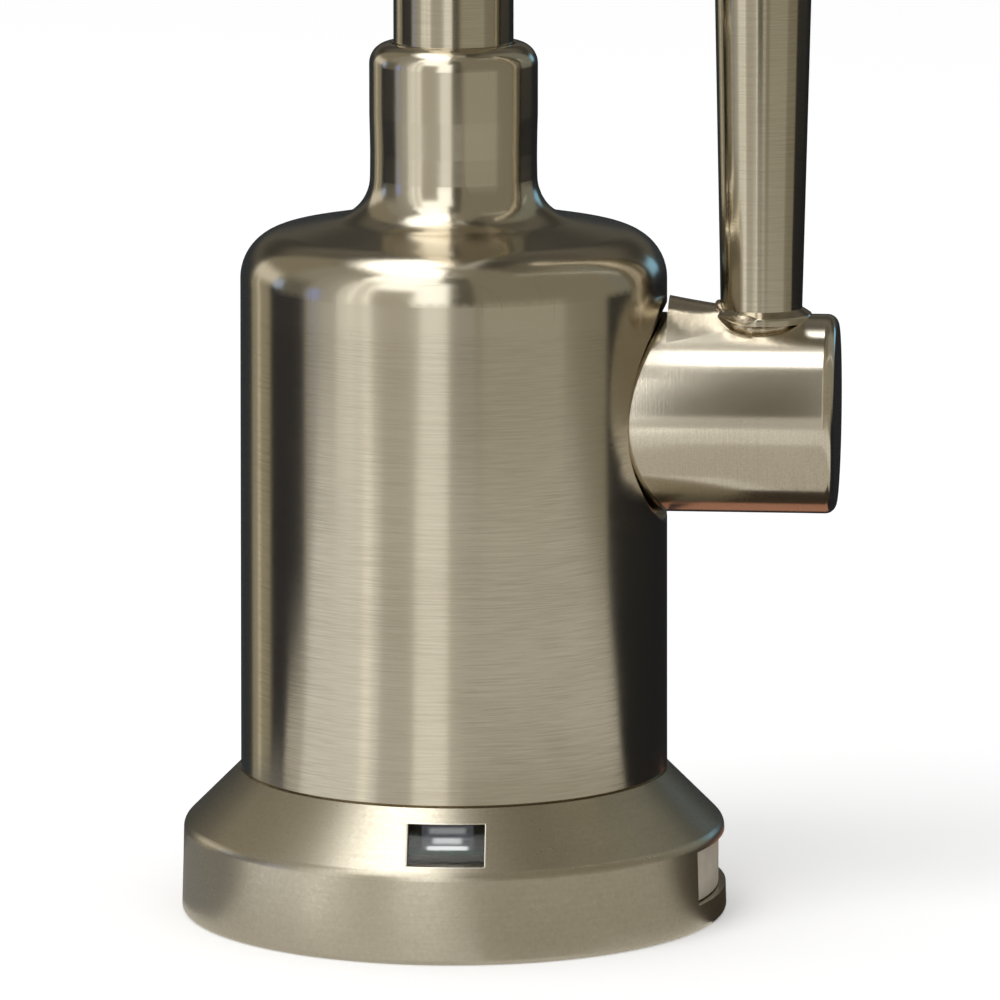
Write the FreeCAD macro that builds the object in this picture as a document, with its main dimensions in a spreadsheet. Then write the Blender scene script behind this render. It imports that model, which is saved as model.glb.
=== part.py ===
import FreeCAD, Part
import math
import os
import re
import Sketcher
from FreeCAD import Placement, Rotation, Vector

# Air gap drinking water faucet with a filter change indicator.
# The origin is the centre of the underside of the base, on the deck.
# +Z is up, +X runs along the lever hub, and -Y is the front, where the spout and the window are.
# All lengths are in millimetres and all angles in degrees.

SIZES = [
    ("base_radius", 29.2, "base ring at the deck"),
    ("base_draft", 0.27, "how far the base wall leans in by its corner"),
    ("base_top_radius", 22.95, "top edge of the base cone"),
    ("base_height", 15.4, "deck to the seat of the body"),
    ("base_wall", 2.8, "wall of the base ring"),
    ("cone_wall", 1.8, "wall of the base cone"),
    ("base_roof", 2.4, "thickness of the roof of the base ring"),
    ("base_corner_round", 1.4, "rounding between wall and cone"),
    ("base_foot_round", 0.5, "rounding at the deck"),
    ("base_turn", 3.4, "turn of the base about the axis, away from the hub"),
    ("roof_opening", 15.7, "hole in the roof for the shank and the drain tubes"),
    ("window_width", 8.2, "indicator window"),
    ("window_drop", 5.2, "sill of the window below the top of the base"),
    ("window_height", 3.85, "height of the window"),
    ("window_recess", 1.9, "level depth from the cone to the lens"),
    ("window_clear", 0.75, "how far inside the cone the window is cut from"),
    ("lens_gap", 0.05, "gap at the sides and top of the lens"),
    ("lens_depth", 2.6, "depth of the lens at its foot"),
    ("lens_top_depth", 1.3, "depth of the lens at its top"),
    ("slot_width", 25.0, "battery drawer slot in the base wall"),
    ("slot_bottom", 2.8, "sill of the drawer slot above the deck"),
    ("slot_height", 5.8, "height of the drawer slot"),
    ("slot_clear", 6.4, "how far inside the base wall a slot is cut from"),
    ("drawer_gap", 0.15, "gap round the drawer"),
    ("drawer_recess", 0.6, "how far the drawer front sits inside the wall"),
    ("drawer_front", 1.5, "thickness of the drawer front"),
    ("drawer_floor", 0.9, "floor of the drawer under the cell"),
    ("drawer_back", 0.7, "wall of the drawer behind the cell"),
    ("drawer_rim_drop", 0.2, "rim of the tray below the top of the cell"),
    ("cell_radius", 10.0, "coin cell"),
    ("cell_thickness", 3.2, "coin cell"),
    ("cell_cap_radius", 8.9, "negative cap of the coin cell"),
    ("cell_cap_height", 0.5, "height of the negative cap"),
    ("cell_gap", 0.1, "gap round the coin cell"),
    ("vent_width", 16.0, "air gap vent at the back of the base"),
    ("vent_bottom", 3.0, "sill of the vent above the deck"),
    ("vent_height", 5.2, "height of the vent"),
    ("gasket_thickness", 1.2, "deck gasket"),
    ("gasket_opening", 16.6, "inside radius of the deck gasket"),
    ("plate_thickness", 1.4, "bottom plate of the base"),
    ("plate_opening", 15.9, "hole in the bottom plate"),
    ("plate_gap", 0.2, "gap between the plate and the base wall"),
    ("rail_width", 1.2, "runner under the drawer"),
    ("rail_spread", 8.0, "runner to the middle of the drawer"),
    ("rail_inset", 1.7, "ends of a runner inside the edges of the plate"),
    ("boss_inset", 3.5, "base screws inside the base wall"),
    ("boss_angle", 50.0, "first base screw, turned from the drawer"),
    ("boss_count", 3, "base screws"),
    ("boss_radius", 1.9, "screw boss"),
    ("boss_rise", 0.3, "bosses and posts into the roof"),
    ("pilot_depth", 6.6, "depth of the pilot hole in a boss"),
    ("screw_radius", 1.0, "base screw"),
    ("screw_gap", 0.15, "gap round a base screw in the plate"),
    ("screw_head_radius", 1.9, "head of a base screw"),
    ("screw_head_height", 0.8, "head of a base screw"),
    ("screw_length", 7.0, "base screw under its head"),
    ("board_gap", 0.45, "circuit board above the drawer"),
    ("board_thickness", 1.0, "circuit board"),
    ("board_inset", 5.8, "round edge of the circuit board inside the base wall"),
    ("board_edge", 7.0, "straight edge of the board in front of the axis"),
    ("board_half_width", 14.0, "half the width of the board"),
    ("post_radius", 1.5, "posts that carry the board"),
    ("post_spread", 9.5, "posts to the middle of the window"),
    ("post_reach", 14.5, "posts in front of the axis"),
    ("light_width", 5.4, "light module behind the lens"),
    ("light_headroom", 0.2, "light module below the roof of the base"),
    ("light_depth", 1.6, "depth of the light module"),
    ("light_gap", 0.9, "light module to the lens"),
    ("light_bar_width", 5.0, "lower bar of the light module"),
    ("light_bar_upper", 4.1, "upper bar of the light module"),
    ("light_bar_height", 0.6, "height of a light bar"),
    ("light_bar_depth", 0.4, "how far a light bar stands out"),
    ("light_bar_pitch", 1.1, "one light bar to the next"),
    ("contact_thickness", 0.3, "spring strip that presses on the cell"),
    ("contact_width", 2.2, "width of the spring strip"),
    ("contact_side", 8.2, "spring strip in front of the axis"),
    ("contact_start", 5.0, "outer end of the foot of the strip"),
    ("contact_foot", 4.0, "length of the foot of the strip"),
    ("contact_slope", 4.5, "length of the sloping stretch"),
    ("contact_toe", 1.4, "length of the toe on the cell"),
    ("contact_lift", 0.1, "toe above the cell"),
    ("seam_step", 0.15, "body less than the top edge of the base"),
    ("body_taper", 0.2, "how far the body narrows up to its shoulder"),
    ("body_chamfer", 0.25, "edge of the body at the seam"),
    ("body_wall", 2.2, "wall of the body"),
    ("shoulder_level", 72.4, "corner of wall and shoulder"),
    ("shoulder_round", 5.2, "rounding of the shoulder"),
    ("neck_rise", 2.6, "corner of shoulder and neck, above the first corner"),
    ("neck_root_round", 4.7, "rounding at the foot of the neck"),
    ("neck_radius", 8.9, "neck at its foot"),
    ("waist_radius", 8.83, "neck at its waist"),
    ("waist_rise", 6.6, "waist of the neck above its foot"),
    ("collar_radius", 8.91, "collar at the top of the neck"),
    ("collar_rise", 10.5, "foot of the collar above the foot of the neck"),
    ("collar_height", 7.6, "height of the collar"),
    ("collar_round", 2.2, "rounding of the collar"),
    ("collar_lip", 2.1, "thickness of the lip over the core"),
    ("collar_chamfer", 0.15, "inside edge of the collar"),
    ("spout_gap", 0.13, "gap between the spout tube and its socket"),
    ("core_gap", 0.05, "gap between the core and the neck of the body"),
    ("flange_gap", 0.5, "foot flange of the core to the wall of the body"),
    ("flange_thickness", 3.2, "foot flange of the core"),
    ("column_radius", 6.9, "water column of the core"),
    ("socket_wall", 1.15, "wall of the spout socket"),
    ("socket_depth", 25.0, "depth of the spout socket in the core"),
    ("socket_taper", 3.0, "height over which the column widens"),
    ("shank_seat", 27.0, "end of the shank in the core"),
    ("valve_drop", 18.45, "axis of the valve and the lever below the shoulder"),
    ("valve_boss_radius", 10.0, "valve boss of the core"),
    ("valve_boss_back", 7.2, "how far the boss reaches behind the axis"),
    ("valve_boss_face", 17.0, "face of the valve boss"),
    ("chamber_radius", 7.55, "valve chamber"),
    ("chamber_end", 1.0, "inner end of the valve chamber"),
    ("passage_radius", 2.2, "water passages along the column"),
    ("cross_radius", 2.1, "water passage from the column to the valve"),
    ("drill_run", 1.0, "how far a drilled passage runs into the next hollow"),
    ("inlet_offset", 2.4, "inlet passage behind the axis"),
    ("outlet_offset", 3.9, "outlet passage in front of the axis"),
    ("seal_bore", 3.0, "hole of the valve seal"),
    ("seal_thickness", 1.4, "valve seal"),
    ("disc_thickness", 2.3, "each ceramic disc"),
    ("disc_radius", 6.2, "ceramic discs"),
    ("disc_gap", 0.1, "gap round the ceramic discs"),
    ("port_radius", 1.6, "ports of the ceramic discs"),
    ("port_offset", 3.4, "ports to the middle of a disc"),
    ("drive_width", 1.9, "driving tongue of the stem"),
    ("drive_length", 9.0, "length of the driving tongue"),
    ("drive_depth", 0.8, "depth of the driving tongue"),
    ("drive_gap", 0.05, "gap round the driving tongue"),
    ("cartridge_radius", 7.45, "cartridge body"),
    ("cartridge_shoulder", 12.0, "end of the thick part of the cartridge"),
    ("cartridge_nose", 24.0, "end of the cartridge nose"),
    ("nose_radius", 5.0, "cartridge nose"),
    ("outlet_window", 5.0, "side windows of the cartridge"),
    ("stem_radius", 3.0, "valve stem"),
    ("stem_gap", 0.08, "running gap of the stem"),
    ("stem_flange_radius", 5.6, "flange of the stem"),
    ("stem_flange", 1.8, "thickness of the flange of the stem"),
    ("stem_end", 36.0, "outer end of the stem"),
    ("stem_flat", 2.3, "flat on the stem, from its axis"),
    ("stem_flat_length", 9.0, "length of the flat"),
    ("stem_groove", 18.0, "start of the groove for the stem ring"),
    ("groove_width", 1.2, "width of a ring groove"),
    ("groove_depth", 0.7, "depth of the stem groove"),
    ("stem_chamfer", 0.35, "outer end of the stem"),
    ("nose_chamfer", 0.7, "outer end of the cartridge nose"),
    ("ring_gap", 0.02, "sealing rings clear of the wall they run in"),
    ("nut_head", 3.5, "head of the bonnet nut"),
    ("nut_flats", 15.0, "bonnet nut across its flats"),
    ("nut_gap", 0.05, "thread gap of the bonnet nut"),
    ("hub_radius", 10.57, "lever hub"),
    ("hub_start", 18.6, "inner end of the hub"),
    ("hub_end", 40.8, "outer end of the hub"),
    ("hub_edge_round", 1.2, "outer edge of the hub"),
    ("hub_inner_round", 0.4, "inner edge of the hub"),
    ("hub_bore", 9.0, "hollow of the hub over the bonnet nut"),
    ("hub_web", 26.0, "where the hollow ends"),
    ("hub_seam", 0.8, "gap between the hub and its hole in the body"),
    ("hole_edge_round", 0.35, "edge of the hole in the body"),
    ("hump_gap", 0.15, "hump on the hub to the body"),
    ("hump_round", 5.2, "round top of the hump"),
    ("hump_sink", 0.04, "feet of the hump inside the surface of the hub"),
    ("hump_body_rise", 1.87, "hump above the hub, beside the body"),
    ("hump_ring_rise", 1.12, "hump above the hub, where the ring of the rod starts"),
    ("hump_end_rise", 0.15, "hump above the hub, where it ends under the rod"),
    ("lever_reach", 32.65, "lever rod to the body axis"),
    ("rod_foot_radius", 4.33, "rod just above its foot"),
    ("rod_tip_radius", 5.77, "rod at its tip"),
    ("rod_tip", 74.6, "tip of the rod above the hub axis"),
    ("rod_tip_round", 3.2, "rounding of the tip"),
    ("rod_foot_level", 11.35, "where the foot blends into the rod"),
    ("foot_ring_radius", 5.35, "ring at the foot of the rod"),
    ("foot_ring_bottom", 10.0, "underside of the ring"),
    ("foot_ring_level", 10.7, "where the ring runs out into the rod"),
    ("foot_ring_round", 0.25, "upper edge of the ring"),
    ("foot_neck_radius", 4.3, "brazed neck under the ring"),
    ("foot_neck_start", 9.0, "foot of the neck before it is fitted to the hub"),
    ("spigot_radius", 3.2, "spigot of the rod in the hub"),
    ("spigot_end", 5.6, "end of the spigot above the hub axis"),
    ("grub_radius", 1.95, "set screw of the hub"),
    ("grub_gap", 0.05, "thread gap of the set screw"),
    ("grub_sink", 0.6, "set screw below the surface of the hub"),
    ("grub_socket", 1.0, "hexagon socket, from its middle"),
    ("keeper_radius", 1.25, "screw that keeps the body on the core"),
    ("keeper_sink", 0.3, "keeper screw below the surface of the body"),
    ("keeper_length", 5.9, "length of the keeper screw"),
    ("keeper_socket", 0.65, "hexagon socket of the keeper screw"),
    ("tube_radius", 6.35, "spout tube"),
    ("tube_wall", 0.8, "wall of the spout tube"),
    ("foot_length", 11.0, "spout tube above the bottom of its socket"),
    ("riser_top", 225.0, "where the spout starts to bend"),
    ("bend_radius", 60.0, "bend of the spout along its middle"),
    ("drop_length", 42.0, "straight end of the spout"),
    ("mouth_round", 0.35, "edge of the mouth"),
    ("foot_clearance", 0.05, "spout foot above the bottom of its socket"),
    ("foot_inset", 0.05, "spout foot less than the tube"),
    ("foot_bore", 4.0, "water way of the spout foot"),
    ("foot_spigot_length", 8.0, "spigot of the foot in the tube"),
    ("braze_gap", 0.03, "gap of a brazed joint"),
    ("ring_groove_rise", 2.2, "lower ring groove above the bottom of the socket"),
    ("ring_groove_pitch", 3.0, "one ring groove to the next"),
    ("spout_groove_width", 1.5, "width of a ring groove of the spout foot"),
    ("ring_groove_depth", 1.15, "depth of the ring grooves"),
    ("clip_rise", 8.6, "groove of the spring clip above the bottom of the socket"),
    ("clip_height", 0.8, "height of the spring clip"),
    ("clip_depth", 0.8, "depth of the groove of the clip"),
    ("clip_opening", 5.0, "opening of the spring clip"),
    ("bush_height", 4.2, "bush at the top of the socket"),
    ("bush_wall", 0.6, "wall of the bush"),
    ("insert_wall", 1.2, "wall of the air gap insert"),
    ("insert_floor", 1.4, "floor of the air gap insert"),
    ("insert_clear", 2.28, "top of the insert below the lever hub"),
    ("insert_gap", 0.4, "insert to the wall of the body"),
    ("insert_sleeve", 0.8, "wall of the insert round the column"),
    ("sleeve_gap", 0.1, "insert to the column"),
    ("overflow_radius", 1.6, "overflow holes"),
    ("overflow_circle", 13.2, "overflow holes to the axis"),
    ("overflow_angle", 90.0, "middle overflow hole, turned from the hub"),
    ("overflow_pitch", 19.0, "turn from one overflow hole to the next"),
    ("inlet_circle", 11.5, "drain inlet tube to the axis"),
    ("inlet_angle", 145.0, "drain inlet tube, turned from the hub"),
    ("inlet_radius", 3.0, "drain inlet tube"),
    ("inlet_bore", 1.9, "drain inlet tube"),
    ("inlet_drop", 4.1, "top of the drain inlet tube below that of the insert"),
    ("outlet_circle", 11.3, "drain outlet tube to the axis"),
    ("outlet_angle", 195.0, "drain outlet tube, turned from the hub"),
    ("outlet_radius", 4.1, "drain outlet tube"),
    ("outlet_bore", 3.0, "drain outlet tube"),
    ("barb_end", 15.0, "barbs below the deck face"),
    ("barb_pitch", 2.6, "one barb to the next"),
    ("barb_slope", 2.1, "length of the slope of a barb"),
    ("barb_back", 0.4, "length of the back of a barb"),
    ("barb_height", 0.45, "barbs above their tube"),
    ("shank_radius", 5.56, "threaded shank"),
    ("shank_bore", 2.6, "water way of the shank"),
    ("shank_end", 62.0, "shank below the deck face"),
    ("shank_tail_radius", 5.2, "supply thread at the end of the shank"),
    ("shank_tail_length", 22.0, "supply thread at the end of the shank"),
    ("shank_chamfer", 0.8, "end of the shank"),
    ("thread_gap", 0.04, "gap of the fine threads"),
    ("shank_ring_level", 24.4, "groove of the ring on the shank"),
    ("shank_ring_depth", 1.0, "depth of that groove"),
    ("deck_thickness", 20.0, "deck that the faucet is clamped to"),
    ("washer_radius", 19.0, "washers under the deck"),
    ("washer_gap", 0.25, "gap between a washer and the shank"),
    ("rubber_thickness", 2.5, "rubber washer"),
    ("steel_thickness", 1.5, "steel washer"),
    ("tube_notch_start", 6.9, "notch for the drain hoses, from the axis"),
    ("tube_notch_width", 19.0, "notch for the drain hoses"),
    ("lock_radius", 9.4, "lock washer"),
    ("lock_thickness", 1.0, "lock washer"),
    ("lock_slit", 1.2, "slit of the lock washer"),
    ("mounting_flats", 17.5, "mounting nut across its flats"),
    ("mounting_height", 6.4, "mounting nut"),
    ("mounting_chamfer", 0.7, "edge of the bore of the mounting nut"),
]

# Levels and radii that several pieces share, worked out from the sizes.
BASE_INSIDE = "(base_radius - base_wall)"
PLATE_RADIUS = f"({BASE_INSIDE} - plate_gap)"
PLATE_TOP = "(gasket_thickness + plate_thickness)"
BOSS_CIRCLE = f"({BASE_INSIDE} - boss_inset)"
SLOT_BACK = f"({BASE_INSIDE} - slot_clear)"
DRAWER_BOTTOM = "(slot_bottom + drawer_gap)"
DRAWER_TOP = "(slot_bottom + slot_height - drawer_gap)"
DRAWER_RADIUS = "(base_radius - base_draft - drawer_recess)"
CELL_REACH = f"({DRAWER_RADIUS} - drawer_front - 2 * cell_gap - cell_radius)"
CELL_BOTTOM = f"({DRAWER_BOTTOM} + drawer_floor)"
CELL_TOP = f"({CELL_BOTTOM} + cell_thickness)"
BOARD_BOTTOM = f"({DRAWER_TOP} + board_gap)"
BOARD_TOP = f"({BOARD_BOTTOM} + board_thickness)"
ROOF_BOTTOM = "(base_height - base_roof)"
SILL = "(base_height - window_drop)"
SILL_RADIUS = "(base_top_radius + window_drop)"
WINDOW_TOP = f"({SILL} + window_height)"
INNER_CONE = "(base_top_radius + base_height - cone_wall * sqrt(2))"
LIGHT_HEIGHT = f"({ROOF_BOTTOM} - {BOARD_TOP} - light_headroom)"
BODY_BOTTOM_RADIUS = "(base_top_radius - seam_step)"
BODY_TOP_RADIUS = "(base_top_radius - seam_step - body_taper)"
BODY_INSIDE = f"({BODY_TOP_RADIUS} - body_wall)"
NECK_LEVEL = "(shoulder_level + neck_rise)"
COLLAR_LEVEL = f"({NECK_LEVEL} + collar_rise)"
COLLAR_TOP = f"({COLLAR_LEVEL} + collar_height)"
VALVE_LEVEL = "(shoulder_level - valve_drop)"
FLANGE_TOP = "(base_height + flange_thickness)"
CORE_TOP = f"({COLLAR_TOP} - collar_lip)"
SOCKET_LEVEL = f"({CORE_TOP} - socket_depth)"
SOCKET_RADIUS = "(tube_radius + spout_gap)"
CORE_NECK = "(tube_radius + spout_gap + socket_wall)"
KEEPER_LEVEL = "(base_height + flange_thickness / 2)"
KEEPER_END = f"({BODY_TOP_RADIUS} - keeper_sink)"
KEEPER_START = f"({KEEPER_END} - keeper_length)"
FIXED_FACE = "(chamber_end + seal_thickness + disc_thickness)"
MOVING_FACE = "(chamber_end + seal_thickness + 2 * disc_thickness)"
TUBE_START = f"({SOCKET_LEVEL} + foot_length)"
FOOT_RADIUS = "(tube_radius - foot_inset)"
FOOT_START = f"({SOCKET_LEVEL} + foot_clearance)"
INSERT_RADIUS = f"({BODY_INSIDE} - insert_gap)"
INSERT_TOP = f"({VALVE_LEVEL} - hub_radius - insert_clear)"
RUBBER_BOTTOM = "(deck_thickness + rubber_thickness)"
STEEL_BOTTOM = f"({RUBBER_BOTTOM} + steel_thickness)"
LOCK_BOTTOM = f"({STEEL_BOTTOM} + lock_thickness)"
HOLE_RADIUS = "(hub_radius + hub_seam)"
HUMP_FOOT = "(hub_radius - hump_sink)"

# A reach that is past every wall of the base and the body.
FAR = "(base_radius + base_height)"

doc = FreeCAD.newDocument("air_gap_faucet")
sheet = doc.addObject("Spreadsheet::Sheet", "Sizes")
for row, (alias, amount, meaning) in enumerate(SIZES, 1):
    sheet.set(f"A{row}", meaning)
    sheet.set(f"B{row}", str(amount))
    sheet.setAlias(f"B{row}", alias)
doc.recompute()

ALIASES = {alias for alias, amount, meaning in SIZES}
pieces = []


def from_sheet(formula):
    """Point every size named in a formula at its cell."""
    return re.sub(r"[a-z_]+", lambda word: f"Sizes.{word[0]}" if word[0] in ALIASES else word[0], formula)


def bind(thing, prop, formula):
    thing.setExpression(prop, from_sheet(formula))


def new_body(name):
    body = doc.addObject("PartDesign::Body", name)
    body.Label = name
    return body


def new_piece(name):
    """One sub-part: a body whose label names its file."""
    body = new_body(name)
    pieces.append(body)
    return body


def sketch_on(body, plane, lift="0", turn=None):
    """A sketch on one of the body's own planes, lifted along that plane's normal."""
    sketch = body.newObject("Sketcher::SketchObject", f"{body.Name}_sketch")
    own_plane = [each for each in body.Origin.OriginFeatures if each.Role == plane][0]
    sketch.AttachmentSupport = (own_plane, [""])
    sketch.MapMode = "FlatFace"
    bind(sketch, "AttachmentOffset.Base.z", lift)
    if turn is not None:
        sketch.AttachmentOffset = Placement(Vector(), Rotation(Vector(0, 0, 1), 1))
        bind(sketch, "AttachmentOffset.Rotation.Angle", turn)
    return sketch


def fix(sketch, kind, *where_and_formula):
    """Add one dimension and bind it to a formula."""
    *where, guess, formula = where_and_formula
    number = sketch.addConstraint(Sketcher.Constraint(kind, *where, guess))
    bind(sketch, f"Constraints[{number}]", formula)


def outline(sketch, corners):
    """A closed outline of straight sides through (across, up) corners."""
    count = len(corners)
    first = sketch.GeometryCount
    guesses = [
        Vector(40 + 9 * math.cos(2 * math.pi * step / count), 9 * math.sin(2 * math.pi * step / count), 0)
        for step in range(count)
    ]
    for step in range(count):
        sketch.addGeometry(Part.LineSegment(guesses[step], guesses[(step + 1) % count]), False)
    for step in range(count):
        following = first + (step + 1) % count
        sketch.addConstraint(Sketcher.Constraint("Coincident", first + step, 2, following, 1))
    for step, (across, up) in enumerate(corners):
        fix(sketch, "DistanceX", -1, 1, first + step, 1, guesses[step].x, across)
        fix(sketch, "DistanceY", -1, 1, first + step, 1, guesses[step].y, up)
    return sketch


def box_outline(sketch, left, right, low, high):
    return outline(sketch, [(left, low), (right, low), (right, high), (left, high)])


def hexagon(sketch, flats):
    """A hexagon about the origin, with two flats upright."""
    half = f"({flats}) / 2"
    corner = f"({flats}) / sqrt(3)"
    return outline(sketch, [
        (half, f"-{corner} / 2"), (half, f"{corner} / 2"), ("0", corner),
        (f"-{half}", f"{corner} / 2"), (f"-{half}", f"-{corner} / 2"), ("0", f"-{corner}"),
    ])


def circle(sketch, across, up, radius):
    number = sketch.addGeometry(Part.Circle(Vector(30, 5, 0), Vector(0, 0, 1), 4), False)
    fix(sketch, "Radius", number, 4, radius)
    fix(sketch, "DistanceX", -1, 1, number, 3, 30, across)
    fix(sketch, "DistanceY", -1, 1, number, 3, 5, up)
    return sketch


def sector(sketch, inner, outer, half_width):
    """A curved strip between two arcs about the origin, cut off level at both sides."""
    edge = math.asin(0.4)
    for radius in (20, 30):
        arc = Part.ArcOfCircle(Part.Circle(Vector(), Vector(0, 0, 1), radius), -edge, edge)
        sketch.addGeometry(arc, False)
    sketch.addGeometry(Part.LineSegment(Vector(18, -8, 0), Vector(27, -8, 0)), False)
    sketch.addGeometry(Part.LineSegment(Vector(27, 8, 0), Vector(18, 8, 0)), False)
    for arc_number, formula, guess in ((0, inner, 20), (1, outer, 30)):
        sketch.addConstraint(Sketcher.Constraint("Coincident", arc_number, 3, -1, 1))
        fix(sketch, "Radius", arc_number, guess, formula)
    joins = ((0, 1, 2, 1), (2, 2, 1, 1), (1, 2, 3, 1), (3, 2, 0, 2))
    for join in joins:
        sketch.addConstraint(Sketcher.Constraint("Coincident", *join))
    sketch.addConstraint(Sketcher.Constraint("Horizontal", 2))
    sketch.addConstraint(Sketcher.Constraint("Horizontal", 3))
    fix(sketch, "DistanceY", -1, 1, 2, 1, -8, f"-({half_width})")
    fix(sketch, "DistanceY", -1, 1, 3, 1, 8, half_width)
    return sketch


def saddle(sketch, centre, radius, foot_across, foot_up):
    """A round top with two straight flanks that run out of it to two feet, closed between the feet."""
    lean = math.radians(58)
    arc = Part.ArcOfCircle(Part.Circle(Vector(0, 6.5, 0), Vector(0, 0, 1), 5), lean, math.pi - lean)
    corners = [Vector(-2.7, 10.7, 0), Vector(-5.6, 8.9, 0), Vector(5.6, 8.9, 0), Vector(2.7, 10.7, 0)]
    sketch.addGeometry(arc, False)
    for start, end in zip(corners, corners[1:]):
        sketch.addGeometry(Part.LineSegment(start, end), False)
    sketch.addConstraint(Sketcher.Constraint("Tangent", 0, 2, 1, 1))
    sketch.addConstraint(Sketcher.Constraint("Coincident", 1, 2, 2, 1))
    sketch.addConstraint(Sketcher.Constraint("Coincident", 2, 2, 3, 1))
    sketch.addConstraint(Sketcher.Constraint("Tangent", 3, 2, 0, 1))
    fix(sketch, "Radius", 0, 5, radius)
    fix(sketch, "DistanceX", -1, 1, 0, 3, 0, "0")
    fix(sketch, "DistanceY", -1, 1, 0, 3, 6.5, centre)
    for line, across in ((1, f"-({foot_across})"), (2, foot_across)):
        fix(sketch, "DistanceX", -1, 1, line, 2, corners[line].x, across)
        fix(sketch, "DistanceY", -1, 1, line, 2, corners[line].y, foot_up)
    return sketch


def revolve(body, sketch, axis="V_Axis"):
    feature = body.newObject("PartDesign::Revolution", f"{body.Name}_turned")
    feature.Profile = sketch
    feature.ReferenceAxis = (sketch, [axis])
    feature.Angle = 360
    doc.recompute()
    return feature


def pad(body, sketch, length, backwards=False, both_ways=False):
    feature = body.newObject("PartDesign::Pad", f"{body.Name}_pad")
    feature.Profile = sketch
    bind(feature, "Length", length)
    feature.Reversed = backwards
    feature.SideType = "Symmetric" if both_ways else "One side"
    doc.recompute()
    return feature


def pocket(body, sketch, length, backwards=False, both_ways=False):
    """Cut a sketch into the body, against the plane's normal unless backwards."""
    feature = body.newObject("PartDesign::Pocket", f"{body.Name}_pocket")
    feature.Profile = sketch
    feature.Type = "Length"
    bind(feature, "Length", length)
    feature.Reversed = backwards
    feature.SideType = "Symmetric" if both_ways else "One side"
    doc.recompute()
    return feature


def ring_edges(shape, radius, place, along):
    """The round edges of a turned shape with this radius at this place along its axis."""
    found = []
    for number, edge in enumerate(shape.Edges, 1):
        if edge.Curve.TypeId != "Part::GeomCircle":
            continue
        middle = getattr(edge.Curve.Center, along)
        if abs(edge.Curve.Radius - radius) < 1e-4 and abs(middle - place) < 1e-4:
            found.append(f"Edge{number}")
    return found


def soften(body, sketch, corner, size, kind="Fillet", axis="V_Axis"):
    """Round or chamfer the edge that one corner of a turned outline makes."""
    point = sketch.Geometry[corner].StartPoint
    previous = body.Tip
    upright = axis == "V_Axis"
    radius, place = (point.x, point.y) if upright else (point.y, point.x)
    edges = ring_edges(previous.Shape, radius, place, "z" if upright else "x")
    feature = body.newObject(f"PartDesign::{kind}", f"{body.Name}_{kind.lower()}")
    feature.Base = (previous, edges)
    bind(feature, "Radius" if kind == "Fillet" else "Size", size)
    doc.recompute()
    return feature


def turned(name, corners, axis="V_Axis", rounds=(), chamfers=()):
    """A piece turned about Z, or about X with the corners as (along, out)."""
    body = new_piece(name)
    sketch = outline(sketch_on(body, "XZ_Plane"), corners)
    revolve(body, sketch, axis)
    for corner, size in rounds:
        soften(body, sketch, corner, size, "Fillet", axis)
    for corner, size in chamfers:
        soften(body, sketch, corner, size, "Chamfer", axis)
    return body


def turned_ring(name, levels, middle_radius, section_radius, axis="V_Axis"):
    """Sealing rings of round section, one for each level along the axis."""
    body = new_piece(name)
    body.AllowCompound = len(levels) > 1
    sketch = sketch_on(body, "XZ_Plane")
    for level in levels:
        where = (middle_radius, level) if axis == "V_Axis" else (level, middle_radius)
        circle(sketch, *where, section_radius)
    revolve(body, sketch, axis)
    return body


def repeat_round(body, originals, count):
    pattern = body.newObject("PartDesign::PolarPattern", f"{body.Name}_pattern")
    pattern.Originals = originals
    pattern.Axis = (originals[0].Profile[0], ["N_Axis"])
    pattern.Angle = 360
    bind(pattern, "Occurrences", count)
    body.Tip = pattern
    doc.recompute()
    return pattern


def turn_with_base(body):
    body.Placement = Placement(Vector(), Rotation(Vector(0, 0, 1), 1))
    bind(body, "Placement.Rotation.Angle", "base_turn")


def put_on_valve_axis(body):
    bind(body, "Placement.Base.z", VALVE_LEVEL)


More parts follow.
